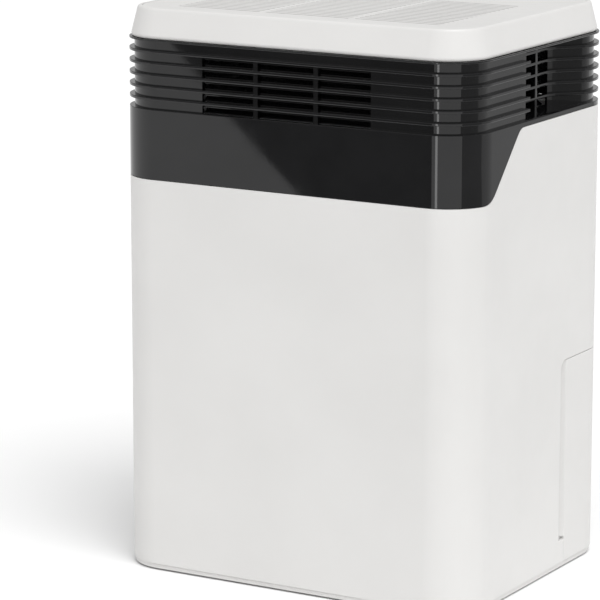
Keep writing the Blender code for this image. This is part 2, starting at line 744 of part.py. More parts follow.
def screw_places():
    x = COVER_SIDE - SCREW_INSET
    heights = (COVER_BOTTOM + SCREW_END_ROOM, COVER_TOP - SCREW_END_ROOM)
    return [(sx * x, z) for sx in (-1, 1) for z in heights]


# ------------------------------------------------------------- the louvre band
def band_vents():
    """Boxes that open the band's wall behind the fins: three in front, two in each scoop."""
    half = VENT_WIDTH / 2
    bar = VENT_BAR_WIDTH / 2
    low = LEDGE_TOP - VENT_SINK
    high = LIP_BOTTOM - (FIN_PITCH - FIN_THICKNESS) - FIN_THICKNESS / 2
    front = [(-half, -VENT_BARS - bar), (-VENT_BARS + bar, VENT_BARS - bar), (VENT_BARS + bar, half)]
    vents = [block(f"front_vent_{i}", (a + VENT_SHIFT, FRONT - BEYOND, low),
                   (b + VENT_SHIFT, FRONT + BEYOND, high), group=CUTTERS)
             for i, (a, b) in enumerate(front)]
    bar_end = SCOOP_FLAT_END - SCOOP_BAR_FROM_END
    side = [(SCOOP_FRONT + SCOOP_VENT_FRONT, bar_end), (bar_end + SCOOP_BAR_WIDTH, SCOOP_FLAT_END)]
    deep = SIDE - SCOOP_DEPTH - FIN_DEPTH
    for sign in (-1, 1):
        for i, (a, b) in enumerate(side):
            xs = sorted((sign * (deep - BEYOND), sign * (deep + FIN_DEPTH / 2)))
            vents.append(block(f"scoop_vent_{i}", (xs[0], a, low), (xs[1], b, high), group=CUTTERS))
    return vents


def scoop_bars():
    """Upright bars that bring each scoop's wall out to the fins' edges."""
    rear = SCOOP_FLAT_END - SCOOP_BAR_FROM_END + SCOOP_BAR_WIDTH
    deep = SIDE - SCOOP_DEPTH
    bars = []
    for sign in (-1, 1):
        xs = sorted((sign * (deep - FIN_DEPTH - WALL / 2), sign * deep))
        bars.append(block("scoop_bar", (xs[0], rear - SCOOP_BAR_WIDTH, LEDGE_TOP - OVERLAP),
                          (xs[1], rear, LIP_BOTTOM + OVERLAP)))
    return bars


def make_louvre_band():
    """Wall, fins, lip, ledge and glossy skirt; the wall ends flush with the fins at each scoop's front."""
    outline = band_outline(SCOOP_FRONT)
    behind = band_outline(SCOOP_FRONT + FIN_DEPTH)
    wall = inset(behind, FIN_DEPTH)
    inner = inset(behind, FIN_DEPTH + WALL)
    root = inset(behind, FIN_DEPTH + WALL / 2)
    band = prism("louvre_band", wall, LEDGE_TOP - WALL_SINK, LIP_BOTTOM + LIP_THICKNESS / 2, BLACK)
    cut(band, prism("band_inside", inner, LEDGE_TOP - BEYOND, CAP_BOTTOM + BEYOND, None, "Z", CUTTERS))
    cut(band, *band_vents())
    skirt = ring("skirt", casing_outline(), casing_outline(WALL), PANEL_BOTTOM, LEDGE_TOP - VENT_SINK)
    line = parting_line(0.0)
    below = [(FRONT - BEYOND, PANEL_BOTTOM - BEYOND), (REAR + BEYOND, PANEL_BOTTOM - BEYOND)]
    cut(skirt, prism("skirt_edge", line + below[::-1], -SIDE - BEYOND, SIDE + BEYOND, None, "X", CUTTERS))
    ledge = ring("ledge", casing_outline(), root, LEDGE_TOP - SHELF_THICKNESS, LEDGE_TOP)
    lip = ring("lip", casing_outline(), root, LIP_BOTTOM, CAP_BOTTOM)
    fins = []
    for i in range(FIN_COUNT):
        high = LEDGE_TOP + (i + 1) * FIN_PITCH
        fins.append(ring(f"fin_{i}", outline, root, high - FIN_THICKNESS, high))
    fuse(band, ledge, skirt, lip, *fins, *scoop_bars())


# ----------------------------------------------------------------- the top cap
def tapered(name, sections, finish=None, group=PARTS):
    """A solid whose outline changes size with height: sections are (height, outline)."""
    shape = bmesh.new()
    rings = [[shape.verts.new((x, y, z)) for x, y in outline] for z, outline in sections]
    for lower, upper in zip(rings, rings[1:]):
        for i in range(len(lower)):
            j = (i + 1) % len(lower)
            shape.faces.new((lower[i], lower[j], upper[j], upper[i]))
    shape.faces.new(rings[0][::-1])
    shape.faces.new(rings[-1])
    mesh = bpy.data.meshes.new(name)
    shape.to_mesh(mesh)
    shape.free()
    return place(name, mesh, finish, group)


def front_insert(distance, seam):
    """Outline of a piece let into the cap in front of a seam across it."""
    whole = casing_outline(INSERT_INSET + distance)
    quarter = ARC_STEPS + 1
    side = SIDE - INSERT_INSET - distance
    return whole[:quarter] + [(side, seam), (-side, seam)] + whole[3 * quarter:]


def rear_insert(distance, seam):
    """Outline of a piece let into the cap behind a seam across it."""
    whole = casing_outline(INSERT_INSET + distance)
    quarter = ARC_STEPS + 1
    side = SIDE - INSERT_INSET - distance
    return [(side, seam)] + whole[quarter:3 * quarter] + [(-side, seam)]


def make_cap():
    low = CAP_BOTTOM + GAP
    sections = [(low, casing_outline(CAP_INSET + CAP_ROLL / 3)),
                (low + CAP_ROLL, casing_outline(CAP_INSET)),
                (HEIGHT - CAP_EDGE, casing_outline(CAP_INSET + CAP_LEAN)),
                (HEIGHT, casing_outline(CAP_TOP_INSET))]
    cap = tapered("top_cap", sections, WHITE)
    hollow = [(low - BEYOND, casing_outline(CAP_INSET + WALL)),
              (low, casing_outline(CAP_INSET + WALL)),
              (LEDGE_ROOF - LEDGE_THICKNESS, casing_outline(CAP_INSET + CAP_LEAN + WALL))]
    seat = prism("cap_seat", casing_outline(INSERT_INSET - GAP), LEDGE_ROOF, HEIGHT + BEYOND,
                 None, "Z", CUTTERS)
    outlines = (front_insert(LEDGE_WIDTH, SEAM_Y - LEDGE_WIDTH / 2),
                rear_insert(LEDGE_WIDTH, SEAM_Y + LEDGE_WIDTH / 2))
    openings = [prism(f"cap_opening_{i}", outline, LEDGE_ROOF - BEYOND, HEIGHT + BEYOND, None, "Z", CUTTERS)
                for i, outline in enumerate(outlines)]
    cut(cap, tapered("cap_hollow", hollow, None, CUTTERS), seat, *openings)


def make_top_grille():
    outline = front_insert(0.0, SEAM_Y - GAP / 2)
    grille = prism("top_grille", outline, INSERT_BOTTOM, INSERT_TOP, WHITE)
    side = SIDE - INSERT_INSET - SLOT_SIDE_MARGIN
    front = FRONT + INSERT_INSET + SLOT_FRONT_MARGIN
    rear = SEAM_Y - SLOT_REAR_MARGIN
    count = int((rear - front) / SLAT_PITCH)
    rows = [(front + i * SLAT_PITCH, front + i * SLAT_PITCH + SLOT_WIDTH) for i in range(count)]
    columns = spans(-side, side, SLOT_COLUMNS, SLOT_RIB)
    cut(grille, grid_cutter("top_slots", columns, rows, INSERT_BOTTOM - BEYOND, INSERT_TOP + BEYOND, "Z"))


# --------------------------------------------------------- the control panel
def button_places():
    names = ("button_power", "button_mode", "button_speed", "button_timer")
    xs = (-BUTTON_FIRST - BUTTON_PITCH, -BUTTON_FIRST, BUTTON_FIRST, BUTTON_FIRST + BUTTON_PITCH)
    return dict(zip(names, xs))


def lens_outline(growth):
    low = (-LENS_WIDTH / 2 - growth, PANEL_MIDDLE - LENS_DEPTH / 2 - growth)
    high = (LENS_WIDTH / 2 + growth, PANEL_MIDDLE + LENS_DEPTH / 2 + growth)
    return rounded_rectangle(low, high, 0.003 + growth, 4)


def make_control_panel():
    outline = rear_insert(0.0, SEAM_Y + GAP / 2)
    panel = prism("control_panel", outline, INSERT_BOTTOM, INSERT_TOP, WHITE)
    cut(panel, prism("lens_hole", lens_outline(GAP), INSERT_BOTTOM - BEYOND, INSERT_TOP + BEYOND,
                     None, "Z", CUTTERS))
    prism("display_lens", lens_outline(0.0), INSERT_BOTTOM, INSERT_TOP, SMOKE)
    for name, x in button_places().items():
        cut(panel, rod(name + "_hole", BUTTON_RADIUS + BUTTON_CLEARANCE, INSERT_BOTTOM - BEYOND,
                       INSERT_TOP + BEYOND, (x, PANEL_MIDDLE), group=CUTTERS))
        low = INSERT_TOP - BUTTON_HEIGHT
        skirt_top = INSERT_BOTTOM - GAP
        wide = BUTTON_RADIUS + BUTTON_SKIRT
        skirt_low = skirt_top - BUTTON_SKIRT_HEIGHT
        profile = [(0.0, INSERT_TOP), (BUTTON_RADIUS - BUTTON_EDGE, INSERT_TOP),
                   (BUTTON_RADIUS, INSERT_TOP - BUTTON_EDGE), (BUTTON_RADIUS, skirt_top), (wide, skirt_top),
                   (wide, skirt_low), (BUTTON_RADIUS, skirt_low), (BUTTON_RADIUS, low), (0.0, low)]
        turned(name, profile, (x, PANEL_MIDDLE, 0.0), GREY, steps=16)
    half = BOARD_LENGTH / 2
    post_x = half - BOARD_POST_INSET
    post_y = BOARD_DEPTH / 2 - BOARD_POST_INSET
    for i, (sx, sy) in enumerate(((-1, -1), (1, -1), (-1, 1), (1, 1))):
        centre = (sx * post_x, PANEL_MIDDLE + sy * post_y)
        fuse(panel, rod(f"panel_post_{i}", BOARD_POST_RADIUS, BOARD_TOP + GAP, INSERT_BOTTOM + OVERLAP,
                        centre, steps=12))
    block("control_board", (-half, PANEL_MIDDLE - BOARD_DEPTH / 2, BOARD_TOP - BOARD_THICKNESS),
          (half, PANEL_MIDDLE + BOARD_DEPTH / 2, BOARD_TOP), GREEN)


# ------------------------------------------------------ rear cover and filter
def port_height():
    return TRAY_BOTTOM + PORT_RISE


def make_rear_cover():
    low = (GAP - COVER_SIDE, COVER_BOTTOM + GAP)
    high = (COVER_SIDE - GAP, COVER_TOP - GAP)
    front = REAR - COVER_THICKNESS
    cover = prism("rear_cover", rectangle(low, high), front, REAR, WHITE, "Y")
    half = FILTER_WIDTH / 2 + GAP
    cut(cover, block("filter_window", (-half, front - BEYOND, FILTER_BOTTOM - GAP),
                     (half, REAR + BEYOND, FILTER_TOP + GAP), group=CUTTERS))
    notch = rounded_rectangle((-NOTCH_WIDTH / 2, FILTER_TOP - NOTCH_TUCK),
                              (NOTCH_WIDTH / 2, FILTER_TOP + NOTCH_HEIGHT), NOTCH_ROUND, 4)
    cut(cover, prism("finger_notch", notch, front - BEYOND, REAR + BEYOND, None, "Y", CUTTERS))
    for name, x, radius in (("port", PORT_X, PORT_RADIUS), ("gland", GLAND_X, GLAND_RADIUS)):
        cut(cover, rod(name + "_hole", radius + GAP, front - BEYOND, REAR + BEYOND,
                       (x, port_height()), None, "Y", 16, CUTTERS))
    for i, (x, z) in enumerate(screw_places()):
        cut(cover, rod(f"cover_hole_{i}", SCREW_RADIUS + GAP, front - BEYOND, REAR + BEYOND,
                       (x, z), None, "Y", 12, CUTTERS))
        cut(cover, rod(f"cover_sink_{i}", SCREW_HEAD_RADIUS + GAP, REAR - SCREW_HEAD_HEIGHT - GAP,
                       REAR + BEYOND, (x, z), None, "Y", 16, CUTTERS))
        make_screw(f"cover_screw_{i + 1}", x, z)


def make_screw(name, x, z):
    """A pan-head screw along Y, head outwards, with a cross recess."""
    head = SCREW_HEAD_HEIGHT
    profile = [(0.0, SCREW_LENGTH), (SCREW_RADIUS, SCREW_LENGTH), (SCREW_RADIUS, head),
               (SCREW_HEAD_RADIUS, head), (SCREW_HEAD_RADIUS, SCREW_EDGE),
               (SCREW_HEAD_RADIUS - SCREW_EDGE, 0.0), (0.0, 0.0)]
    screw = turned(name, profile, (x, REAR - GAP, z), STEEL, "Y", 12)
    long, short = CROSS_LENGTH / 2, CROSS_WIDTH / 2
    for i, (a, b) in enumerate(((long, short), (short, long))):
        cut(screw, block(f"{name}_cross_{i}", (x - a, REAR - GAP - CROSS_DEPTH, z - b),
                         (x + a, REAR + BEYOND, z + b), group=CUTTERS))


def make_filter():
    half = FILTER_WIDTH / 2
    frame = prism("filter_frame", rectangle((-half, FILTER_BOTTOM), (half, FILTER_TOP)),
                  FILTER_FRONT, REAR, WHITE, "Y")
    plate = REAR - COVER_THICKNESS
    pocket = block("filter_pocket", (FILTER_RIM - half, FILTER_FRONT - BEYOND, FILTER_BOTTOM + FILTER_RIM),
                   (half - FILTER_RIM, plate, FILTER_TOP - FILTER_RIM), group=CUTTERS)
    middle = (FILTER_BOTTOM + FILTER_TOP) / 2
    first = middle - FILTER_PITCH * FILTER_ROWS / 2 + (FILTER_PITCH - FILTER_SLOT) / 2
    rows = [(first + i * FILTER_PITCH, first + i * FILTER_PITCH + FILTER_SLOT) for i in range(FILTER_ROWS)]
    columns = spans(0.008 - half, half - 0.008, FILTER_COLUMNS, FILTER_RIB)
    cut(frame, pocket, grid_cutter("filter_slots", columns, rows, plate - OVERLAP, REAR + BEYOND, "Y"))
    edge = FILTER_RIM + GAP
    block("filter_mesh", (edge - half, plate - GAP - MESH_THICKNESS, FILTER_BOTTOM + edge),
          (half - edge, plate - GAP, FILTER_TOP - edge), DARK)


def make_port_and_gland():
    z = port_height()
    inner = TRAY_REAR + GAP
    profile = [(PORT_BORE, REAR - inner), (PORT_RADIUS, REAR - inner), (PORT_RADIUS, 0.0), (PORT_BORE, 0.0)]
    turned("drain_port", profile, (PORT_X, REAR, z), GREY, "Y", 16)
    stem = PORT_BORE - GAP
    plug = [(0.0, PLUG_LENGTH), (stem, PLUG_LENGTH), (stem, 0.0), (0.0, 0.0)]
    turned("drain_plug", plug, (PORT_X, REAR - GAP, z), RUBBER, "Y", 14)
    wide = GLAND_RADIUS + GLAND_FLANGE
    flange = COVER_THICKNESS + GLAND_FLANGE
    gland = [(GLAND_BORE, flange), (wide, flange),
             (wide, COVER_THICKNESS + GAP), (GLAND_RADIUS, COVER_THICKNESS + GAP),
             (GLAND_RADIUS, 0.0), (GLAND_BORE, 0.0)]
    turned("cord_gland", gland, (GLAND_X, REAR, z), RUBBER, "Y", 16)


# ------------------------------------------------------------ the water tank
def make_tank():
    outline = tank_outline()
    tank = prism("water_tank", outline, TANK_BOTTOM, TANK_TOP, WHITE)
    inside = prism("tank_inside", inset(outline, WALL), TANK_BOTTOM + WALL, TANK_TOP + BEYOND,
                   None, "Z", CUTTERS)
    cut(tank, inside)
    front = TANK_FRONT + SLIDE_GAP
    for sign in (-1, 1):
        xs = sorted((sign * (SIDE - WALL - 0.0007), sign * (SIDE + BEYOND)))
        cut(tank, block("grip_step", (xs[0], front - BEYOND, TANK_BOTTOM - BEYOND),
                        (xs[1], front + GRIP_WIDTH, TANK_BOTTOM + GRIP_FOOT + GAP), group=CUTTERS))
    half = WINDOW_WIDTH / 2
    low = TANK_BOTTOM + WINDOW_FOOT
    hole = rounded_rectangle((-half - GAP, low - GAP), (half + GAP, low + WINDOW_HEIGHT + GAP), half, 5)
    cut(tank, prism("window_hole", hole, REAR - WALL - BEYOND, REAR + BEYOND, None, "Y", CUTTERS))
    pane = rounded_rectangle((-half, low), (half, low + WINDOW_HEIGHT), half - GAP, 5)
    prism("level_window", pane, REAR - WALL, REAR - GAP, SMOKE, "Y")
    fuse(tank, rod("float_post", POST_RADIUS, TANK_BOTTOM + WALL - OVERLAP, TANK_TOP - LID_THICKNESS - 0.002,
                   (FLOAT_X, tank_middle()), steps=16))
    low = TANK_BOTTOM + WALL + GAP
    ring_profile = [(POST_RADIUS + SLIDE_GAP, FLOAT_HEIGHT), (FLOAT_RADIUS, FLOAT_HEIGHT),
                    (FLOAT_RADIUS, 0.0), (POST_RADIUS + SLIDE_GAP, 0.0)]
    turned("tank_float", ring_profile, (FLOAT_X, tank_middle(), low), FOAM, steps=24)


def tank_middle():
    return (TANK_FRONT + SLIDE_GAP + REAR) / 2


def make_tank_lid():
    lid = prism("tank_lid", inset(tank_outline(), WALL + GAP), TANK_TOP - LID_THICKNESS, TANK_TOP, GREY)
    cut(lid, rod("lid_inlet", LID_INLET_RADIUS, TANK_TOP - BEYOND, TANK_TOP + BEYOND,
                 (TRAY_SPOUT_X, tray_spout_y()), group=CUTTERS))
    corner = (SPOUT_INSET[0] - SIDE, REAR - SPOUT_INSET[1])
    cut(lid, rod("lid_spout", SPOUT_RADIUS, TANK_TOP - BEYOND, TANK_TOP + BEYOND, corner, group=CUTTERS))


# ------------------------------------------------- chassis, tray and coils
def make_chassis():
    """One moulded frame: a wall in front of the tank and a roof above it."""
    inner = casing_outline(WALL + GAP)
    frame = prism("chassis_frame", inner, ROOF_BOTTOM, ROOF_TOP, GREY)
    cut(frame, block("roof_front", (-WIDTH, FRONT - BEYOND, ROOF_BOTTOM - BEYOND),
                     (WIDTH, BULKHEAD_FRONT, ROOF_TOP + BEYOND), group=CUTTERS))
    wall = block("bulkhead", (WALL + GAP - SIDE, BULKHEAD_FRONT, CASING_BOTTOM),
                 (SIDE - WALL - GAP, BULKHEAD_FRONT + FRAME_THICKNESS, ROOF_BOTTOM + OVERLAP))
    fuse(frame, wall)
    cut(frame, rod("roof_drain", TRAY_SPOUT_RADIUS + GAP, ROOF_BOTTOM - BEYOND, ROOF_TOP + BEYOND,
                   (TRAY_SPOUT_X, tray_spout_y()), group=CUTTERS))
    hole = SWITCH_HOLE / 2
    z = TANK_TOP - SWITCH_DROP
    cut(frame, block("switch_hole", (-hole, BULKHEAD_FRONT - BEYOND, z - hole),
                     (hole, TANK_FRONT + BEYOND / 5, z + hole), group=CUTTERS))


def tray_spout_y():
    return (EVAPORATOR_FRONT + CONDENSER_REAR) / 2


def make_tray():
    half = COIL_WIDTH / 2 + COIL_PLATE_LIP + 0.004
    top = TRAY_BOTTOM + TRAY_HEIGHT
    tray = block("drip_tray", (-half, TRAY_FRONT, TRAY_BOTTOM), (half, TRAY_REAR, top), GREY)
    cut(tray, block("tray_inside", (TRAY_WALL - half, TRAY_FRONT + TRAY_WALL, TRAY_BOTTOM + TRAY_WALL),
                    (half - TRAY_WALL, TRAY_REAR - TRAY_WALL, top + BEYOND), group=CUTTERS))
    centre = (TRAY_SPOUT_X, tray_spout_y())
    fuse(tray, rod("tray_spout", TRAY_SPOUT_RADIUS, ROOF_BOTTOM - GAP, TRAY_BOTTOM + OVERLAP, centre))
    cut(tray, rod("tray_bore", TRAY_SPOUT_BORE, ROOF_BOTTOM - BEYOND, TRAY_BOTTOM + TRAY_WALL + 0.001,
                  centre, group=CUTTERS))
    cut(tray, rod("tray_outlet", PORT_BORE, TRAY_REAR - TRAY_WALL - 0.001, TRAY_REAR + BEYOND,
                  (PORT_X, port_height()), None, "Y", 16, CUTTERS))


def make_coil(name, front, rear):
    """A fin pack between two end plates that stand in the drip tray."""
    half = COIL_WIDTH / 2
    low = COIL_BOTTOM + COIL_PLATE_LIP
    high = COIL_BOTTOM + COIL_HEIGHT - COIL_PLATE_LIP
    coil = block(name, (-half, front + COIL_PLATE_LIP / 2, low), (half, rear - COIL_PLATE_LIP / 2, high),
                 ALUMINIUM)
    for sign in (-1, 1):
        xs = sorted((sign * (half - OVERLAP), sign * (half + COIL_PLATE)))
        fuse(coil, block(f"{name}_plate", (xs[0], front, COIL_BOTTOM),
                         (xs[1], rear, COIL_BOTTOM + COIL_HEIGHT)))


# ------------------------------------------------------ fan, scroll and motor
def make_baffle():
    """Plate between the coils and the fan, with the fan's round inlet."""
    half = SIDE - WALL - GAP
    baffle = prism("fan_baffle", rectangle((-half, ROOF_TOP + GAP), (half, RIM_BOTTOM - 0.002)),
                   BAFFLE_FRONT, BAFFLE_REAR, GREY, "Y")
    cut(baffle, rod("baffle_inlet", INLET_RADIUS, BAFFLE_FRONT - BEYOND, BAFFLE_REAR + BEYOND,
                    (0.0, FAN_Z), None, "Y", 32, CUTTERS))
    cut(baffle, block("pipe_notch", (COIL_WIDTH / 2 + 0.006, BAFFLE_FRONT - BEYOND, ROOF_TOP - BEYOND),
                      (SIDE + BEYOND, BAFFLE_REAR + BEYOND, FAN_Z + 0.020), group=CUTTERS))


def scroll_outline(inwards, extra):
    """Fan housing seen from the rear: a growing round that runs into an upward duct."""
    steps = 24
    points = []
    for i in range(steps + 1):
        angle = SCROLL_TONGUE + (2 * math.pi - SCROLL_TONGUE) * i / steps
        radius = WHEEL_RADIUS + SCROLL_START + SCROLL_GROWTH * i / steps - inwards
        points.append((radius * math.cos(angle), FAN_Z + radius * math.sin(angle)))
    tongue = points[0][0] + 2 * inwards
    points[0] = (tongue, points[0][1])
    return points + [(points[-1][0], DUCT_TOP + extra), (tongue, DUCT_TOP + extra)]


def make_scroll():
    scroll = prism("fan_scroll", scroll_outline(0.0, 0.0), SCROLL_FRONT, SCROLL_REAR, GREY, "Y")
    hollow = prism("scroll_hollow", scroll_outline(SCROLL_WALL, BEYOND), SCROLL_FRONT + SCROLL_WALL,
                   SCROLL_REAR + BEYOND, None, "Y", CUTTERS)
    hole = rod("scroll_shaft_hole", SHAFT_RADIUS + 0.006, SCROLL_FRONT - BEYOND, WHEEL_FRONT,
               (0.0, FAN_Z), None, "Y", 16, CUTTERS)
    cut(scroll, hollow, hole)


def blade_outline(angle):
    """One forward-curved blade between the wheel's inner and outer radius."""
    points = []
    for side in (1, -1):
        for i in range(3):
            t = i / 2 if side == 1 else 1 - i / 2
            radius = WHEEL_INNER_RADIUS + (WHEEL_RADIUS - 0.0006 - WHEEL_INNER_RADIUS) * t
            lead = angle + 0.16 * t * t + side * 0.0006 / radius
            points.append((radius * math.cos(lead), FAN_Z + radius * math.sin(lead)))
    return points


def blade_ring():
    """All the blades as separate prisms in one mesh."""
    shape = bmesh.new()
    low, high = WHEEL_FRONT + WHEEL_PLATE - OVERLAP, WHEEL_REAR - WHEEL_PLATE + OVERLAP
    for i in range(WHEEL_BLADES):
        outline = blade_outline(2 * math.pi * i / WHEEL_BLADES)
        face = shape.faces.new([shape.verts.new((x, low, z)) for x, z in outline])
        grown = bmesh.ops.extrude_face_region(shape, geom=[face])
        moved = [v for v in grown["geom"] if isinstance(v, bmesh.types.BMVert)]
        bmesh.ops.translate(shape, verts=moved, vec=(0.0, high - low, 0.0))
    bmesh.ops.recalc_face_normals(shape, faces=shape.faces)
    mesh = bpy.data.meshes.new("blades")
    shape.to_mesh(mesh)
    shape.free()
    return place("blades", mesh, None, CUTTERS)


def make_wheel():
    """Centrifugal fan wheel; its origin is on the axis."""
    profile = [(SHAFT_RADIUS + GAP, 0.0), (SHAFT_RADIUS + GAP, -HUB_LENGTH), (HUB_RADIUS, -HUB_LENGTH),
               (HUB_RADIUS, -WHEEL_PLATE), (WHEEL_RADIUS, -WHEEL_PLATE), (WHEEL_RADIUS, 0.0)]
    wheel = turned("fan_wheel", profile[::-1], (0.0, WHEEL_FRONT, FAN_Z), DARK, "Y", 36)
    rim = [(WHEEL_RADIUS - WHEEL_HOOP, 0.0), (WHEEL_RADIUS, 0.0), (WHEEL_RADIUS, -WHEEL_PLATE),
           (WHEEL_RADIUS - WHEEL_HOOP, -WHEEL_PLATE)]
    hoop = turned("wheel_hoop", rim, (0.0, WHEEL_REAR - WHEEL_PLATE, FAN_Z), None, "Y", 36)
    fuse(wheel, blade_ring(), hoop)


def make_motor():
    edge = MOTOR_RADIUS - MOTOR_ROUND
    bore = SHAFT_RADIUS + GAP
    body = [(bore, MOTOR_LENGTH), (edge, MOTOR_LENGTH), (MOTOR_RADIUS, MOTOR_LENGTH - MOTOR_ROUND),
            (MOTOR_RADIUS, MOTOR_ROUND), (edge, 0.0), (bore, 0.0)]
    turned("fan_motor", body, (0.0, MOTOR_REAR, FAN_Z), STEEL, "Y", 24)
    rod("fan_shaft", SHAFT_RADIUS, MOTOR_FRONT + SHAFT_END_DEPTH, WHEEL_FRONT + HUB_LENGTH - SHAFT_END_DEPTH,
        (0.0, FAN_Z), STEEL, "Y", 16)
    strap_rear = MOTOR_REAR - STRAP_SETBACK
    strap_front = strap_rear - STRAP_WIDTH
    inner = MOTOR_RADIUS + GAP
    strap = ring("motor_bracket", circle((0.0, FAN_Z), inner + STRAP_THICKNESS, 24),
                 circle((0.0, FAN_Z), inner, 24), strap_front, strap_rear, STEEL, "Y")
    leg_in = inner + STRAP_THICKNESS / 2
    for i, angle in enumerate((90, 210, 330)):
        turn = math.radians(angle)
        along = Vector((math.cos(turn), math.sin(turn)))
        across = Vector((-along.y, along.x)) * STRAP_LEG_WIDTH / 2
        near, far = along * leg_in, along * (leg_in + STRAP_LEG_LENGTH)
        centre = Vector((0.0, FAN_Z))
        outline = [tuple(centre + p) for p in (near - across, far - across, far + across, near + across)]
        fuse(strap, prism(f"strap_leg_{i}", outline, strap_front, MOTOR_REAR, None, "Y"))


# ------------------------------------------------------- refrigerating circuit
def make_compressor():
    centre = (COMPRESSOR_X, BAY_MIDDLE, 0.0)
    low, high, dome = COMPRESSOR_BOTTOM, COMPRESSOR_TOP, COMPRESSOR_DOME
    radius = COMPRESSOR_RADIUS
    top = [(radius * math.sin(a), high - dome + dome * math.cos(a))
           for a in [math.pi / 2 * i / 5 for i in range(6)]]
    bottom = [(radius, low + COMPRESSOR_EDGE), (radius - COMPRESSOR_EDGE, low), (0.0, low)]
    turned("compressor_shell", top + bottom, centre, PAINTED, steps=28)
    foot = []
    for x, y in stud_places():
        heading = math.atan2(y - BAY_MIDDLE, x - COMPRESSOR_X)
        foot += arc((x, y), EAR_ROUND, heading - math.pi / 3, heading + math.pi / 3, 4)
    plate = prism("compressor_plate", foot, PLATE_BOTTOM, PLATE_TOP, PAINTED)
    for i, (x, y) in enumerate(stud_places()):
        cut(plate, rod(f"plate_hole_{i}", STUD_RADIUS + GAP, PLATE_BOTTOM - BEYOND, PLATE_TOP + BEYOND,
                       (x, y), group=CUTTERS))
        bore = STUD_RADIUS + GAP
        waist = GROMMET_RADIUS - GROMMET_WAIST
        slope = GROMMET_LIP + GROMMET_WAIST / 2
        profile = [(bore, GROMMET_HEIGHT), (GROMMET_RADIUS, GROMMET_HEIGHT),
                   (GROMMET_RADIUS, GROMMET_HEIGHT - GROMMET_LIP), (waist, GROMMET_HEIGHT - slope),
                   (waist, slope), (GROMMET_RADIUS, GROMMET_LIP), (GROMMET_RADIUS, 0.0), (bore, 0.0)]
        turned(f"compressor_grommet_{i + 1}", profile, (x, y, PAN_TOP + GAP), RUBBER, steps=14)
    cap = [(0.0, TERMINAL_HEIGHT), (TERMINAL_RADIUS - TERMINAL_EDGE, TERMINAL_HEIGHT),
           (TERMINAL_RADIUS, TERMINAL_HEIGHT - TERMINAL_EDGE), (TERMINAL_RADIUS, 0.0), (0.0, 0.0)]
    turned("terminal_cover", cap, (COMPRESSOR_X, BAY_MIDDLE, high + GAP), DARK, steps=24)
    can = can_profile(ACCUMULATOR_RADIUS, ACCUMULATOR_HEIGHT, ACCUMULATOR_NECK, ACCUMULATOR_SHOULDER)
    turned("accumulator", can, (ACCUMULATOR_X, BAY_MIDDLE, ACCUMULATOR_TOP), PAINTED, steps=24)


def can_profile(radius, height, neck, shoulder):
    """A can with a sloping shoulder at both ends, hanging down from its top."""
    return [(0.0, 0.0), (neck, 0.0), (radius, -shoulder), (radius, shoulder - height), (neck, -height),
            (0.0, -height)]


def make_pipes():
    end = COIL_WIDTH / 2 + COIL_PLATE + GAP
    evaporator = (EVAPORATOR_FRONT + EVAPORATOR_REAR) / 2
    condenser = (CONDENSER_FRONT + CONDENSER_REAR) / 2
    rim = ROOF_TOP + TRAY_HEIGHT
    level = rim + SUCTION_LIFT
    suction = [(end, evaporator, level), (end + SUCTION_REACH, evaporator, level),
               (end + SUCTION_REACH, BAY_MIDDLE, level), (ACCUMULATOR_X, BAY_MIDDLE, level),
               (ACCUMULATOR_X, BAY_MIDDLE, ACCUMULATOR_TOP + GAP)]
    pipe("suction_pipe", bent_path(suction, 0.008), PIPE_RADIUS, COPPER)
    low = ACCUMULATOR_BOTTOM - GAP
    link = [(ACCUMULATOR_X, BAY_MIDDLE, low), (ACCUMULATOR_X, BAY_MIDDLE, low - RETURN_DROP),
            (COMPRESSOR_X + COMPRESSOR_RADIUS + GAP, BAY_MIDDLE, low - RETURN_DROP)]
    pipe("return_bend", bent_path(link, 0.007), PIPE_RADIUS, COPPER)
    make_discharge_pipe(rim, end, condenser)
    drier_y = condenser - DRIER_SETBACK
    low = rim + DRIER_LIFT
    top = low + DRIER_LENGTH
    can = can_profile(DRIER_RADIUS, DRIER_LENGTH, DRIER_NECK, DRIER_SHOULDER)
    turned("filter_drier", can, (DRIER_X, drier_y, top), COPPER, steps=20)
    thin = [(DRIER_X, drier_y, low - GAP), (DRIER_X, drier_y, low - CAPILLARY_DROP),
            (DRIER_X, evaporator, low - CAPILLARY_DROP), (end, evaporator, low - CAPILLARY_DROP)]
    pipe("capillary_tube", bent_path(thin, 0.005), CAPILLARY_RADIUS, COPPER)
    liquid = [(DRIER_X, drier_y, top + GAP), (DRIER_X, drier_y, top + LIQUID_RISE),
              (end, drier_y, top + LIQUID_RISE)]
    pipe("liquid_pipe", bent_path(liquid, 0.006), LIQUID_RADIUS, COPPER)


def make_discharge_pipe(rim, end, condenser):
    """From the top of the compressor's dome up and across to the condenser's inlet."""
    x = COMPRESSOR_X + DISCHARGE_X
    y = BAY_MIDDLE + DISCHARGE_Y
    inwards = math.hypot(DISCHARGE_X, DISCHARGE_Y) / COMPRESSOR_RADIUS
    dome_top = COMPRESSOR_TOP - COMPRESSOR_DOME * (1 - math.sqrt(1 - inwards ** 2))
    level = rim + DISCHARGE_LIFT
    inlet = rim + DISCHARGE_INLET_LIFT
    near = end + DISCHARGE_REACH
    route = [(x, y, dome_top + DISCHARGE_STANDOFF), (x, y, level), (near, y, level),
             (near, condenser, level), (near, condenser, inlet), (end, condenser, inlet)]
    pipe("discharge_pipe", bent_path(route, 0.0065), PIPE_RADIUS, COPPER)


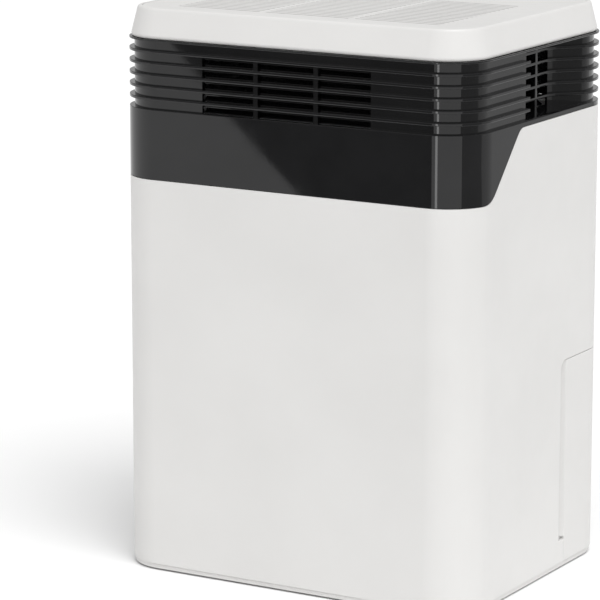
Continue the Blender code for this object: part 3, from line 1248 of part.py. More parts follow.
# -------------------------------------------------------------- electric parts
def make_electrics():
    low = PAN_TOP + BOX_RISE
    high = low + BOX_HEIGHT
    left = BOX_SIDE_ROOM - SIDE
    rear = BULKHEAD_FRONT - GAP
    box = block("electrics_box", (left, rear - BOX_DEPTH, low), (left + BOX_WIDTH, rear, high), DARK)
    wall = BOX_WALL
    cut(box, block("box_inside", (left + wall, rear - BOX_DEPTH - BEYOND, low + wall),
                   (left + BOX_WIDTH - wall, rear - wall, high - wall), group=CUTTERS))
    back = rear - wall - BOARD_STANDOFF
    board = block("power_board", (left + wall + GAP, back - BOARD_THICKNESS, low + wall + GAP),
                  (left + BOX_WIDTH - wall - GAP, back, high - wall - GAP), GREEN)
    face = back - BOARD_THICKNESS
    for name, (x, z, wide, tall, deep) in BOARD_BLOCKS.items():
        fuse(board, block(name, (left + x, face - deep, low + z),
                          (left + x + wide, face + OVERLAP, low + z + tall)))
    x, z, radius, deep = BOARD_CAN
    fuse(board, rod("board_capacitor", radius, face - deep, face + OVERLAP, (left + x, low + z),
                    None, "Y", 16))
    edge = CAPACITOR_EDGE
    can = [(0.0, CAPACITOR_HEIGHT), (CAPACITOR_RADIUS - edge, CAPACITOR_HEIGHT),
           (CAPACITOR_RADIUS, CAPACITOR_HEIGHT - edge), (CAPACITOR_RADIUS, 0.0), (0.0, 0.0)]
    x, y = CAPACITOR_PLACE
    turned("run_capacitor", can, (x - SIDE, FRONT + y, PAN_TOP + GAP), ALUMINIUM, steps=24)
    make_tank_switch()
    left = FILTER_WIDTH / 2 + SENSOR_GAP
    high = FILTER_TOP - SENSOR_DROP
    block("humidity_sensor", (left, STRIP_REAR - SENSOR_DEPTH, high - SENSOR_HEIGHT),
          (left + SENSOR_WIDTH, STRIP_REAR, high), GREEN)


def make_tank_switch():
    """A small switch on the bulkhead whose tip feels the tank's front through a hole."""
    z = TANK_TOP - SWITCH_DROP
    rear = BULKHEAD_FRONT - GAP
    switch = block("tank_switch", (-SWITCH_WIDTH / 2, rear - SWITCH_DEPTH, z - SWITCH_HEIGHT / 2),
                   (SWITCH_WIDTH / 2, rear, z + SWITCH_HEIGHT / 2), DARK)
    tip = SWITCH_TIP / 2
    fuse(switch, block("switch_tip", (-tip, rear - SWITCH_DEPTH / 2, z - tip),
                       (tip, TANK_FRONT + SLIDE_GAP - GAP, z + tip)))


def main():
    make_base()
    make_casing()
    make_louvre_band()
    make_cap()
    make_top_grille()
    make_control_panel()
    make_rear_cover()
    make_filter()
    make_port_and_gland()
    make_tank()
    make_tank_lid()
    make_chassis()
    make_tray()
    make_coil("evaporator_coil", EVAPORATOR_FRONT, EVAPORATOR_REAR)
    make_coil("condenser_coil", CONDENSER_FRONT, CONDENSER_REAR)
    make_baffle()
    make_scroll()
    make_wheel()
    make_motor()
    make_compressor()
    make_pipes()
    make_electrics()


main()
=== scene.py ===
"""Looks of a portable compressor dehumidifier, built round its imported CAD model.

Metres, +Z up, origin on the floor under the middle of the casing, louvred front towards -Y.
"""
import math

import bmesh
import bpy
from mathutils import Matrix, Vector


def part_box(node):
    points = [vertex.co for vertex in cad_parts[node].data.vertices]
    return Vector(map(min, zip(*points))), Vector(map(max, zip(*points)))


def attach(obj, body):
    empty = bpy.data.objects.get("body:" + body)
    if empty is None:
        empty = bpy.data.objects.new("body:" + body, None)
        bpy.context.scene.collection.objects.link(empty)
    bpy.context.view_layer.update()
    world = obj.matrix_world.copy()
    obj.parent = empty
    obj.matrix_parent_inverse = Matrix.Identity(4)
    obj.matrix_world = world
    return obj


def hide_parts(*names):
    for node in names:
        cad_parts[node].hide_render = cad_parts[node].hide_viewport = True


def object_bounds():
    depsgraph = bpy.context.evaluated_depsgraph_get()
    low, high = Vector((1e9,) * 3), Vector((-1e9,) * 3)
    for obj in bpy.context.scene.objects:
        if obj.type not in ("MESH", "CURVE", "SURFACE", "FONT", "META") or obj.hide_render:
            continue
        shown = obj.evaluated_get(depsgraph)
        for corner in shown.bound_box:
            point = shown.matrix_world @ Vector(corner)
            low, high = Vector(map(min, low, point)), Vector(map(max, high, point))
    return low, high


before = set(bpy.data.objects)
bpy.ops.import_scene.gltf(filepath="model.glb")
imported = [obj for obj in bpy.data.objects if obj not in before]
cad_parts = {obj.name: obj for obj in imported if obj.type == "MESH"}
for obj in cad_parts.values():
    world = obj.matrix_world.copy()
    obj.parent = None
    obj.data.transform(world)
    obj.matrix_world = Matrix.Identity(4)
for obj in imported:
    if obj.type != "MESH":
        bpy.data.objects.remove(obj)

CAD_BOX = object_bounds()
LOW, HIGH = CAD_BOX
SIDE = HIGH.x
REAR = HIGH.y
FRONT = LOW.y

# ---- sizes that the frame gives
BAND_LOW, BAND_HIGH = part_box("louvre_band")
CASING_LOW, CASING_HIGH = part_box("main_casing")
CAP_LOW, CAP_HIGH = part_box("top_cap")
GRILLE_LOW, GRILLE_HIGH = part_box("top_grille")
PANEL_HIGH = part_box("control_panel")[1]
TANK_LOW, TANK_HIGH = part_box("water_tank")
COVER_LOW, COVER_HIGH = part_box("rear_cover")
FILTER_LOW, FILTER_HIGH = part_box("filter_frame")
PAN_LOW, PAN_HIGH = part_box("base_pan")

# ---- sizes of the design
CORNER = 0.0415  # round of the upright corners
WALL = 0.0025  # thickness of a moulded wall
GAP = 0.0003  # play round a loose piece
SEAM = 0.0006  # open line between the casing and the black panel
STEPS = 20  # straight pieces in a quarter turn
QUARTER = math.pi / 2
EDGE = 0.0005  # usual round of a moulded edge
FINE_EDGE = 0.0004  # round of a small piece's edge
HOLE_EDGE = 0.0003  # round at the rim of a hole
RIM_EDGE = 0.0006  # round of the fins and of the tank
FLUSH = 0.00001  # how far a ledge's face stays behind the skirt's
TIP = 0.00002  # radius that stands for none where a turned profile reaches its axis
PAST = 0.01  # how far a cutting tool runs past the piece
WELL_PAST = 0.02

RIM_HEIGHT = 0.0035  # black rim between the casing and the lowest gap of the louvres
LEDGE_TOP = CASING_HIGH.z + SEAM + RIM_HEIGHT
RIM_BOTTOM = LEDGE_TOP - RIM_HEIGHT
SHELF = 0.0024  # thickness of the ledge under the lowest fin
FIN_PITCH = 0.01025
FIN_THICKNESS = 0.0027
FIN_DEPTH = 0.0045
FIN_COUNT = 5
CAP_BOTTOM = BAND_HIGH.z
LIP_BOTTOM = CAP_BOTTOM - 0.0018
PANEL_BOTTOM = BAND_LOW.z
SLANT = ((FRONT + 0.0412, 0.026), (FRONT + 0.0948, 0.015))  # ends: place along Y, and round
VENT_HALF = 0.0825  # half the width of the front vents
VENT_BARS = 0.0295  # bars' distance from the vents' middle
VENT_BAR = 0.0045  # width of a bar
VENT_HEAD = 0.0100  # height of the wall over the vents
VENT_SHIFT = -0.0022  # vents' middle, sideways from the casing's middle

SCOOP_DEPTH = 0.024  # of the hollow at each side
SCOOP_DEEP = SIDE - SCOOP_DEPTH
SCOOP_IN = 0.030  # its hollow round
SCOOP_OUT = 0.022  # the round of its crest
SCOOP_END = REAR - CORNER - 0.003
SCOOP_FLAT_END = SCOOP_END - SCOOP_DEPTH - (math.sqrt(2) - 1) * (SCOOP_IN + SCOOP_OUT)
SCOOP_FRONT = SCOOP_FLAT_END - 0.0758
SCOOP_VENT = SCOOP_FRONT + 0.006
SCOOP_VENT_END = SCOOP_FLAT_END + 0.009
SCOOP_BAR = (SCOOP_FLAT_END - 0.0185, SCOOP_FLAT_END - 0.0145)

TANK_FRONT = TANK_LOW.y - 0.0005
TANK_RAMP = (0.008, 0.010)  # slanted front corners of the tank: across and along
TANK_STEP = 0.010  # length of the notch in the tank's lower front corners
STEP_ROOM = 0.0022  # notch's height above the bay's foot
BAY_TOP = TANK_HIGH.z + 0.0004
BAY_STEP = TANK_FRONT + 0.0102
BAY_FOOT = TANK_LOW.z + 0.0208
BAY_ROUND = 0.009
INLET = (-0.060, 0.093)  # lid's hole under the drip tray's outlet
SPOUT_IN = (0.026, 0.030)  # pouring hole, from the lid's side and rear
LID_HOLE = 0.015


# ---- plane outlines
def arc(centre, radius, start, end, steps):
    """Points on a round from one angle to another, ends included."""
    angles = [start + (end - start) * i / steps for i in range(steps + 1)]
    return [(centre[0] + radius * math.cos(a), centre[1] + radius * math.sin(a)) for a in angles]


def circle(centre, radius, steps=48):
    return arc(centre, radius, 0.0, 2 * math.pi, steps)[:-1]


def rounded_rectangle(low, high, radius, steps=8):
    centres = ((high[0] - radius, low[1] + radius), (high[0] - radius, high[1] - radius),
               (low[0] + radius, high[1] - radius), (low[0] + radius, low[1] + radius))
    points = []
    for i, centre in enumerate(centres):
        points += arc(centre, radius, (i - 1) * QUARTER, i * QUARTER, steps)
    return points


def inset(points, distance):
    """Move every side of an anticlockwise outline inwards by one distance."""
    moved = []
    count = len(points)
    for i in range(count):
        here = Vector(points[i])
        before = (here - Vector(points[i - 1])).normalized()
        after = (Vector(points[(i + 1) % count]) - here).normalized()
        turned = [Vector((-side.y, side.x)) for side in (before, after)]
        reach = distance / (1 + turned[0].dot(turned[1]))
        moved.append(tuple(here + (turned[0] + turned[1]) * reach))
    return moved


def rounded_corner(before, corner, after, radius, steps=10):
    """Points of the round that replaces one corner of a line."""
    corner = Vector(corner)
    back = (Vector(before) - corner).normalized()
    onward = (Vector(after) - corner).normalized()
    half = back.angle(onward) / 2
    centre = corner + (back + onward).normalized() * (radius / math.sin(half))
    first = corner + back * (radius / math.tan(half)) - centre
    last = corner + onward * (radius / math.tan(half)) - centre
    start = math.atan2(first.y, first.x)
    turn = math.remainder(math.atan2(last.y, last.x) - start, 2 * math.pi)
    return arc(centre, radius, start, start + turn, steps)


def casing_outline(distance=0.0):
    outline = rounded_rectangle((-SIDE, FRONT), (SIDE, REAR), CORNER, STEPS)
    return inset(outline, distance) if distance else outline


def scoop_side(front):
    """Right-hand side of the band from front to rear: deep wall, hollow round and crest."""
    eighth = math.pi / 4
    rise = arc((SCOOP_DEEP + SCOOP_IN, SCOOP_FLAT_END), SCOOP_IN, 4 * eighth, 3 * eighth, STEPS // 2)
    crest = arc((SIDE - SCOOP_OUT, SCOOP_END), SCOOP_OUT, -eighth, 0.0, STEPS // 2)
    return [(SIDE, front), (SCOOP_DEEP, front)] + rise + crest


def band_outline(scoop_front=SCOOP_FRONT):
    corners = casing_outline()
    quarter = STEPS + 1
    right = scoop_side(scoop_front)
    left = [(-x, y) for x, y in reversed(right)]
    return corners[:quarter] + right + corners[quarter:3 * quarter] + left + corners[3 * quarter:]


def parting_line(drop):
    """Lower edge of the glossy panel seen from the side, as (y, z) points."""
    (low_y, low_round), (high_y, high_round) = SLANT
    start = (low_y, PANEL_BOTTOM - drop)
    end = (high_y, RIM_BOTTOM - drop)
    ahead = (FRONT - WELL_PAST, start[1])
    behind = (REAR + WELL_PAST, end[1])
    line = [ahead] + rounded_corner(ahead, start, end, low_round)
    return line + rounded_corner(start, end, behind, high_round) + [behind]


def spans(low, high, count, bar):
    """Split a length into equal openings with a bar between neighbours."""
    width = (high - low - bar * (count - 1)) / count
    return [(low + i * (width + bar), low + i * (width + bar) + width) for i in range(count)]


# ---- mesh makers
AXES = {"Z": lambda u, v, w: (u, v, w), "Y": lambda u, v, w: (u, w, v), "X": lambda u, v, w: (w, u, v)}


def add_object(name, data):
    thing = bpy.data.objects.new(name, data)
    bpy.context.scene.collection.objects.link(thing)
    return thing


def make_object(name, shape):
    """A new object from a bmesh, with its faces pointing outwards."""
    bmesh.ops.remove_doubles(shape, verts=shape.verts, dist=0.000002)
    bmesh.ops.recalc_face_normals(shape, faces=shape.faces)
    mesh = bpy.data.meshes.new(name)
    shape.to_mesh(mesh)
    shape.free()
    return add_object(name, mesh)


def loft_into(shape, rings, wrap):
    """Quads between neighbouring rings of equal length, or flat ends where they don't wrap."""
    rows = [[shape.verts.new(point) for point in ring] for ring in rings]
    pairs = list(zip(rows, rows[1:]))
    if wrap:
        pairs.append((rows[-1], rows[0]))
    for lower, upper in pairs:
        for i in range(len(lower)):
            j = (i + 1) % len(lower)
            shape.faces.new((lower[i], lower[j], upper[j], upper[i]))
    if not wrap:
        shape.faces.new(rows[0][::-1])
        shape.faces.new(rows[-1])


def loft(name, rings, wrap=False):
    shape = bmesh.new()
    loft_into(shape, rings, wrap)
    return make_object(name, shape)


def prism(name, outline, low, high, axis="Z"):
    """A flat outline given thickness along an axis: (x, y) for Z, (x, z) for Y, (y, z) for X."""
    turn = AXES[axis]
    return loft(name, [[turn(u, v, w) for u, v in outline] for w in (low, high)])


def level(outline, distance, height):
    """An outline moved inwards by a distance, as a ring of points at one height."""
    points = inset(outline, distance) if distance else outline
    return [(x, y, height) for x, y in points]


def soft_prism(name, outline, low, high, axis="Z", edge=FINE_EDGE, both=True):
    """A prism whose last rim, or both rims, are rounded over two steps."""
    turn = AXES[axis]
    bevel = [(edge, 0.0), (edge * 0.3, edge * 0.3), (0.0, edge)]
    steps = [(d, low + h) for d, h in bevel] if both else [(0.0, low)]
    steps += [(d, high - h) for d, h in reversed(bevel)]
    return loft(name, [[turn(*point) for point in level(outline, d, w)] for d, w in steps])


def block(name, low, high):
    shape = bmesh.new()
    size = [b - a for a, b in zip(low, high)]
    middle = [(a + b) / 2 for a, b in zip(low, high)]
    bmesh.ops.create_cube(shape, size=1.0, matrix=Matrix.Translation(middle) @ Matrix.Diagonal((*size, 1.0)))
    return make_object(name, shape)


def side_block(name, sign, across, along, up):
    """A block at one side; across is its span of distances from the middle."""
    xs = sorted(sign * x for x in across)
    return block(name, (xs[0], along[0], up[0]), (xs[1], along[1], up[1]))


def grid(name, columns, rows, low, high, axis):
    """Separate boxes in one mesh: columns and rows are (start, end) pairs."""
    turn = AXES[axis]
    shape = bmesh.new()
    for a, b in columns:
        for c, d in rows:
            outline = [(a, c), (b, c), (b, d), (a, d)]
            loft_into(shape, [[turn(u, v, w) for u, v in outline] for w in (low, high)], False)
    return make_object(name, shape)


def turned(name, profile, centre, axis="Z", steps=48):
    """A closed (radius, height) profile turned round Z, or round Y with its height along -Y."""
    x, y, z = centre
    rings = []
    for radius, height in profile:
        flat = circle((0.0, 0.0), radius, steps)
        if axis == "Z":
            rings.append([(x + u, y + v, z + height) for u, v in flat])
        else:
            rings.append([(x + u, y - height, z + v) for u, v in flat])
    return loft(name, rings, wrap=True)


def swept_ring(name, outline, profile):
    """A closed rim of (distance in, height) points carried round an outline."""
    return loft(name, [level(outline, d, z) for d, z in profile], wrap=True)


def rim_profile(face, inner, low, high, edge):
    """Section of a flat rim with its outer edges rounded, as (distance in, height) points."""
    rise = [(inner, 0.0), (edge, 0.0), (edge * 0.3, edge * 0.3), (face, edge)]
    return [(d, low + h) for d, h in rise] + [(d, high - h) for d, h in reversed(rise)]


def strip(line, low, high):
    """An upright wall on the left of an open line seen from above."""
    points = [Vector(p) for p in line]
    rings = []
    for i, here in enumerate(points):
        before = (here - points[i - 1]).normalized() if i else (points[1] - here).normalized()
        after = (points[i + 1] - here).normalized() if i + 1 < len(points) else before
        sides = [Vector((-s.y, s.x)) for s in (before, after)]
        reach = (sides[0] + sides[1]) / (1 + sides[0].dot(sides[1]))
        back = here + reach * WALL
        rings.append([(here.x, here.y, low), (here.x, here.y, high),
                      (back.x, back.y, high), (back.x, back.y, low)])
    return loft("wall", rings)


def carve(target, tool):
    """Cut a tool out of a piece and remove the tool."""
    step = target.modifiers.new("carve", "BOOLEAN")
    step.operation = "DIFFERENCE"
    step.solver = "EXACT"
    step.object = tool
    settle(target)
    bpy.data.objects.remove(tool, do_unlink=True)


def settle(thing):
    """Apply a piece's modifiers to its mesh."""
    bpy.context.view_layer.update()
    solid = thing.evaluated_get(bpy.context.evaluated_depsgraph_get())
    mesh = bpy.data.meshes.new_from_object(solid)
    thing.modifiers.clear()
    thing.data = mesh


def round_edges(thing, width, segments=2, angle=40):
    """Bevel the edges that are sharper than an angle in degrees."""
    step = thing.modifiers.new("round", "BEVEL")
    step.width = width
    step.segments = segments
    step.limit_method = "ANGLE"
    step.angle_limit = math.radians(angle)
    step.harden_normals = False
    step.use_clamp_overlap = True
    settle(thing)
    return thing


def join(name, parts):
    """One object from several, each a closed body of its own."""
    shape = bmesh.new()
    for part in parts:
        shape.from_mesh(part.data)
        bpy.data.objects.remove(part, do_unlink=True)
    mesh = bpy.data.meshes.new(name)
    shape.to_mesh(mesh)
    shape.free()
    return add_object(name, mesh)


def finish(thing, material, slot, body, *nodes, angle=32):
    """Smooth a piece, dress it, hide the CAD nodes it stands for, and hang it on the body it rides on."""
    thing.data.shade_smooth()
    thing.data.set_sharp_from_angle(angle=math.radians(angle))
    step = thing.modifiers.new("flat_faces_first", "WEIGHTED_NORMAL")
    step.keep_sharp = True
    settle(thing)
    thing.data.materials.clear()
    thing.data.materials.append(material)
    if nodes:
        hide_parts(*nodes)
    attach(thing, body)


# ---- materials
class Finish:
    """A Principled material whose colour, roughness and grain come from noise in object space."""

    def __init__(self, name, colour, roughness, **sockets):
        self.material = bpy.data.materials.new(name)
        self.material.use_nodes = True
        self.tree = self.material.node_tree
        self.shader = self.tree.nodes["Principled BSDF"]
        self.space = self.tree.nodes.new("ShaderNodeTexCoord").outputs["Object"]
        self.shader.inputs["Base Color"].default_value = (*colour, 1.0)
        self.shader.inputs["Roughness"].default_value = roughness
        for socket, value in sockets.items():
            self.shader.inputs[socket.replace("_", " ")].default_value = value

    def link(self, source, target):
        self.tree.links.new(source, target)

    def noise(self, scale, detail, stretch):
        space = self.space
        if stretch != (1, 1, 1):
            mapping = self.tree.nodes.new("ShaderNodeMapping")
            mapping.inputs["Scale"].default_value = stretch
            self.link(space, mapping.inputs["Vector"])
            space = mapping.outputs["Vector"]
        texture = self.tree.nodes.new("ShaderNodeTexNoise")
        texture.inputs["Scale"].default_value = scale
        texture.inputs["Detail"].default_value = detail
        self.link(space, texture.inputs["Vector"])
        return texture.outputs["Fac"]

    def spread(self, source, low, high):
        """Turn a noise texture, most of it between 0.35 and 0.65, into values from low to high."""
        ranged = self.tree.nodes.new("ShaderNodeMapRange")
        for socket, value in (("From Min", 0.35), ("From Max", 0.65), ("To Min", low), ("To Max", high)):
            ranged.inputs[socket].default_value = value
        self.link(source, ranged.inputs["Value"])
        return ranged.outputs["Result"]

    def mottle(self, first, second, scale, stretch=(1, 1, 1), detail=4.0):
        """Colour that drifts between two near shades."""
        mix = self.tree.nodes.new("ShaderNodeMix")
        mix.data_type = "RGBA"
        mix.inputs["A"].default_value = (*first, 1.0)
        mix.inputs["B"].default_value = (*second, 1.0)
        self.link(self.spread(self.noise(scale, detail, stretch), 0.0, 1.0), mix.inputs["Factor"])
        self.link(mix.outputs["Result"], self.shader.inputs["Base Color"])
        return self

    def sheen_drift(self, low, high, scale, stretch=(1, 1, 1)):
        """Roughness that drifts, as handling and moulding leave it."""
        self.link(self.spread(self.noise(scale, 5.0, stretch), low, high), self.shader.inputs["Roughness"])
        return self

    def grain(self, scale, depth, strength, stretch=(1, 1, 1)):
        """Fine relief of the surface; depth is in metres."""
        bump = self.tree.nodes.new("ShaderNodeBump")
        bump.inputs["Strength"].default_value = strength
        bump.inputs["Distance"].default_value = depth
        self.link(self.noise(scale, 2.0, stretch), bump.inputs["Height"])
        self.link(bump.outputs["Normal"], self.shader.inputs["Normal"])
        return self


def make_materials():
    shades = {}
    shades["white"] = Finish("white_plastic", (0.70, 0.69, 0.68), 0.42).mottle(
        (0.685, 0.678, 0.666), (0.71, 0.703, 0.691), 9.0).sheen_drift(0.36, 0.48, 60.0).grain(
        2600.0, 0.00004, 0.35)
    shades["black"] = Finish("gloss_black_plastic", (0.004, 0.004, 0.0045), 0.07).mottle(
        (0.0035, 0.0035, 0.004), (0.006, 0.006, 0.0065), 25.0).sheen_drift(0.03, 0.05, 40.0).grain(
        260.0, 0.00001, 0.25)
    shades["vent"] = Finish("matt_black_plastic", (0.006, 0.006, 0.006), 0.55).mottle(
        (0.005, 0.005, 0.005), (0.009, 0.009, 0.009), 60.0).grain(1800.0, 0.00005, 0.4)
    shades["grey"] = Finish("grey_plastic", (0.35, 0.36, 0.37), 0.5).mottle(
        (0.33, 0.34, 0.35), (0.39, 0.40, 0.41), 14.0).sheen_drift(0.42, 0.58, 70.0).grain(
        1900.0, 0.00005, 0.4)
    shades["dark"] = Finish("dark_plastic", (0.05, 0.05, 0.055), 0.5).mottle(
        (0.04, 0.04, 0.045), (0.065, 0.065, 0.07), 20.0).sheen_drift(0.42, 0.6, 80.0).grain(
        1700.0, 0.00006, 0.4)
    shades["smoke"] = Finish("smoked_lens", (0.02, 0.022, 0.026), 0.06, Coat_Weight=0.6).mottle(
        (0.018, 0.020, 0.024), (0.028, 0.031, 0.036), 40.0).sheen_drift(0.04, 0.09, 90.0)
    shades["rubber"] = Finish("rubber", (0.03, 0.03, 0.03), 0.8).mottle(
        (0.022, 0.022, 0.022), (0.045, 0.045, 0.044), 90.0).sheen_drift(0.7, 0.9, 200.0).grain(
        1500.0, 0.00008, 0.5)
    shades["steel"] = Finish("brushed_steel", (0.55, 0.56, 0.58), 0.35, Metallic=1.0).mottle(
        (0.50, 0.51, 0.53), (0.60, 0.61, 0.63), 30.0).sheen_drift(0.25, 0.45, 400.0, (1, 12, 1)).grain(
        900.0, 0.00003, 0.4, (1, 14, 1))
    shades["paint"] = Finish("black_paint", (0.03, 0.03, 0.032), 0.38).mottle(
        (0.024, 0.024, 0.026), (0.04, 0.04, 0.042), 30.0).sheen_drift(0.3, 0.48, 120.0).grain(
        700.0, 0.00008, 0.4)
    shades["copper"] = Finish("copper_tube", (0.72, 0.38, 0.22), 0.3, Metallic=1.0).mottle(
        (0.74, 0.40, 0.24), (0.55, 0.26, 0.15), 35.0, detail=6.0).sheen_drift(0.2, 0.42, 150.0)
    shades["aluminium"] = Finish("bare_aluminium", (0.75, 0.76, 0.78), 0.35, Metallic=1.0).mottle(
        (0.70, 0.71, 0.73), (0.79, 0.80, 0.82), 50.0).sheen_drift(0.26, 0.44, 300.0, (1, 1, 8)).grain(
        1200.0, 0.00002, 0.3, (1, 1, 10))
    shades["green"] = Finish("circuit_board", (0.03, 0.17, 0.08), 0.45).mottle(
        (0.02, 0.13, 0.06), (0.05, 0.22, 0.11), 260.0, detail=0.0).sheen_drift(0.35, 0.55, 300.0).grain(
        600.0, 0.0001, 0.4)
    shades["foam"] = Finish("closed_cell_foam", (0.85, 0.85, 0.84), 0.7).mottle(
        (0.80, 0.80, 0.79), (0.90, 0.90, 0.89), 150.0).grain(900.0, 0.0003, 0.6)
    shades["mesh"] = Finish("nylon_net", (0.05, 0.05, 0.055), 0.6).mottle(
        (0.035, 0.035, 0.04), (0.075, 0.075, 0.08), 30.0).sheen_drift(0.5, 0.7, 200.0)
    shades["mark"] = Finish("printed_mark", (0.55, 0.56, 0.57), 0.5).mottle(
        (0.52, 0.53, 0.54), (0.58, 0.59, 0.60), 300.0).sheen_drift(0.4, 0.6, 400.0)
    return {name: shade.material for name, shade in shades.items()}


LOOK = make_materials()


# ---- casing
def bay_cutter():
    """Room for the tank, seen from the side, with its rounded upper corner."""
    far = REAR + WELL_PAST
    corner = rounded_corner((TANK_FRONT, BAY_FOOT), (TANK_FRONT, BAY_TOP), (far, BAY_TOP), BAY_ROUND)
    outline = [(BAY_STEP, -PAST), (BAY_STEP, BAY_FOOT), (TANK_FRONT, BAY_FOOT)] + corner
    outline += [(far, BAY_TOP), (far, -PAST)]
    return prism("bay", outline, -SIDE - PAST, SIDE + PAST, "X")


def make_casing():
    casing = prism("casing_shell", casing_outline(), CASING_LOW.z, LEDGE_TOP)
    inside = prism("inside", casing_outline(WALL), CASING_LOW.z - PAST, LEDGE_TOP + PAST)
    above = parting_line(SEAM) + [(REAR + WELL_PAST, HIGH.z), (FRONT - WELL_PAST, HIGH.z)]
    edge = prism("edge", above, -SIDE - PAST, SIDE + PAST, "X")
    window = block("window", (COVER_LOW.x - GAP, REAR - WELL_PAST, COVER_LOW.z - GAP),
                   (COVER_HIGH.x + GAP, REAR + PAST, COVER_HIGH.z + GAP))
    carve(casing, inside)
    carve(casing, edge)
    carve(casing, bay_cutter())
    carve(casing, window)
    round_edges(casing, EDGE, angle=50)
    strips = []
    for sign in (-1, 1):
        strips.append(side_block("strip", sign, (COVER_HIGH.x - 0.0117, COVER_HIGH.x + 0.004),
                                 (REAR - 0.0063, REAR - 0.0034), (COVER_LOW.z, COVER_HIGH.z)))
    casing = join("casing_shell", [casing] + strips)
    finish(casing, LOOK["white"], "white_shell", "housing", "main_casing", angle=28)


# ---- louvre band
def band_walls():
    """The wall behind the fins, left open at the vents, with bars between the openings."""
    behind = inset(band_outline(SCOOP_FRONT + FIN_DEPTH), FIN_DEPTH)
    low, high = LEDGE_TOP - SHELF / 2, LIP_BOTTOM + 0.001
    top_row = high - VENT_HEAD
    turn = STEPS + 1
    scoop = len(scoop_side(0.0))
    open_steps = 4  # the scoop's vent runs on into the hollow round by this many steps
    front_y = FRONT + FIN_DEPTH
    deep = SCOOP_DEEP - FIN_DEPTH
    right = behind[:turn + 2]
    rear = behind[turn + 2 + open_steps:2 * turn + scoop]
    parts = []

    def wall(line, bottom, top):
        parts.append(strip(line, bottom, top))
        parts.append(strip([(-x, y) for x, y in reversed(line)], bottom, top))

    for sign in (1, -1):
        line = [(VENT_HALF + sign * VENT_SHIFT, front_y)] + right + [(deep, SCOOP_VENT)]
        points = [(sign * x, y) for x, y in line]
        parts.append(strip(points[::sign], low, high))
    wall(rear + [(0.0, REAR - FIN_DEPTH)], low, high)
    wall(behind[turn + 2:turn + 3 + open_steps], top_row, high)
    wall([(deep, SCOOP_BAR[0]), (deep, SCOOP_BAR[1])], low, top_row)
    wall([(deep, SCOOP_VENT), (deep, SCOOP_FLAT_END)], top_row, high)
    for x in (VENT_SHIFT - VENT_BARS, VENT_SHIFT + VENT_BARS):
        parts.append(strip([(x - VENT_BAR / 2, front_y), (x + VENT_BAR / 2, front_y)], low, top_row))
    lintel = [(VENT_SHIFT - VENT_HALF, front_y), (VENT_SHIFT + VENT_HALF, front_y)]
    parts.append(strip(lintel, top_row, high))
    return parts + inner_slats(front_y + WALL, deep - WALL)


def inner_slats(front, side):
    """Slanted slats behind the vents: they rise inwards, so that nothing inside shows through."""
    pitch, depth, thick = FIN_PITCH / 2, 0.008, 0.0008
    slats = []
    for i in range(int((LIP_BOTTOM - LEDGE_TOP) / pitch)):
        z = LEDGE_TOP + i * pitch
        outline = [(0.0, z), (depth, z + pitch), (depth, z + pitch + thick), (0.0, z + thick)]
        slats.append(prism("slat", [(front + u, v) for u, v in outline],
                           VENT_SHIFT - VENT_HALF, VENT_SHIFT + VENT_HALF, "X"))
        for sign in (-1, 1):
            slats.append(prism("slat", [(sign * (side - u), v) for u, v in outline],
                               SCOOP_VENT, SCOOP_VENT_END, "Y"))
    return slats


def make_band():
    """Five fins and two ledges in front of the wall, over the smooth panel with its slanted ends."""
    inner = FIN_DEPTH + WALL / 2
    behind = band_outline(SCOOP_FRONT + FIN_DEPTH)
    parts = band_walls()

    def rim(name, outline, face, low, high, edge):
        rings = [level(behind if d == inner else outline, d, z)
                 for d, z in rim_profile(face, inner, low, high, edge)]
        parts.append(loft(name, rings, wrap=True))

    for i in range(FIN_COUNT):
        high = LEDGE_TOP + (i + 1) * FIN_PITCH
        rim("fin", band_outline(), 0.0, high - FIN_THICKNESS, high, RIM_EDGE)
    rim("ledge", plain_band(), FLUSH, LEDGE_TOP - SHELF, LEDGE_TOP, EDGE)
    rim("ledge", plain_band(), FLUSH, LIP_BOTTOM, CAP_BOTTOM, RIM_EDGE)
    skirt = prism("skirt", casing_outline(), PANEL_BOTTOM, LEDGE_TOP - 0.0006)
    hollow = prism("hollow", casing_outline(WALL), PANEL_BOTTOM - PAST, LEDGE_TOP + PAST)
    below = [(REAR + WELL_PAST, PANEL_BOTTOM - WELL_PAST), (FRONT - WELL_PAST, PANEL_BOTTOM - WELL_PAST)]
    edge = prism("edge", parting_line(0.0) + below, -SIDE - PAST, SIDE + PAST, "X")
    carve(skirt, hollow)
    carve(skirt, edge)
    round_edges(skirt, FINE_EDGE, angle=50)
    for sign in (-1, 1):
        bar = side_block("bar", sign, (SCOOP_DEEP - FIN_DEPTH - WALL / 2, SCOOP_DEEP - 0.0001), SCOOP_BAR,
                         (LEDGE_TOP - 0.0005, LIP_BOTTOM + 0.0005))
        parts.append(round_edges(bar, FINE_EDGE))
    band = join("louvre_shell", parts + [skirt])
    finish(band, LOOK["black"], "gloss_black", "housing", "louvre_band", angle=30)


def plain_band():
    """The casing's outline with as many points as the band's, so that the two can be joined."""
    corners = casing_outline()
    turn = STEPS + 1
    right = [(SIDE, y) for x, y in scoop_side(SCOOP_FRONT)]
    right[1] = (SIDE, right[0][1] + 0.0002)
    left = [(-x, y) for x, y in reversed(right)]
    return corners[:turn] + right + corners[turn:3 * turn] + left + corners[3 * turn:]


# ---- cap and its inserts
CAP_IN = 0.0020  # cap's lower edge, in from the casing's
CAP_LEAN = 0.0056  # how far its side leans in
CAP_RIM = 0.0015  # height of its rounded upper edge
LENS_ROUND = 0.003
INSERT_IN = CAP_IN + CAP_LEAN + CAP_RIM + 0.0030
SEAM_Y = GRILLE_HIGH.y + GAP / 2


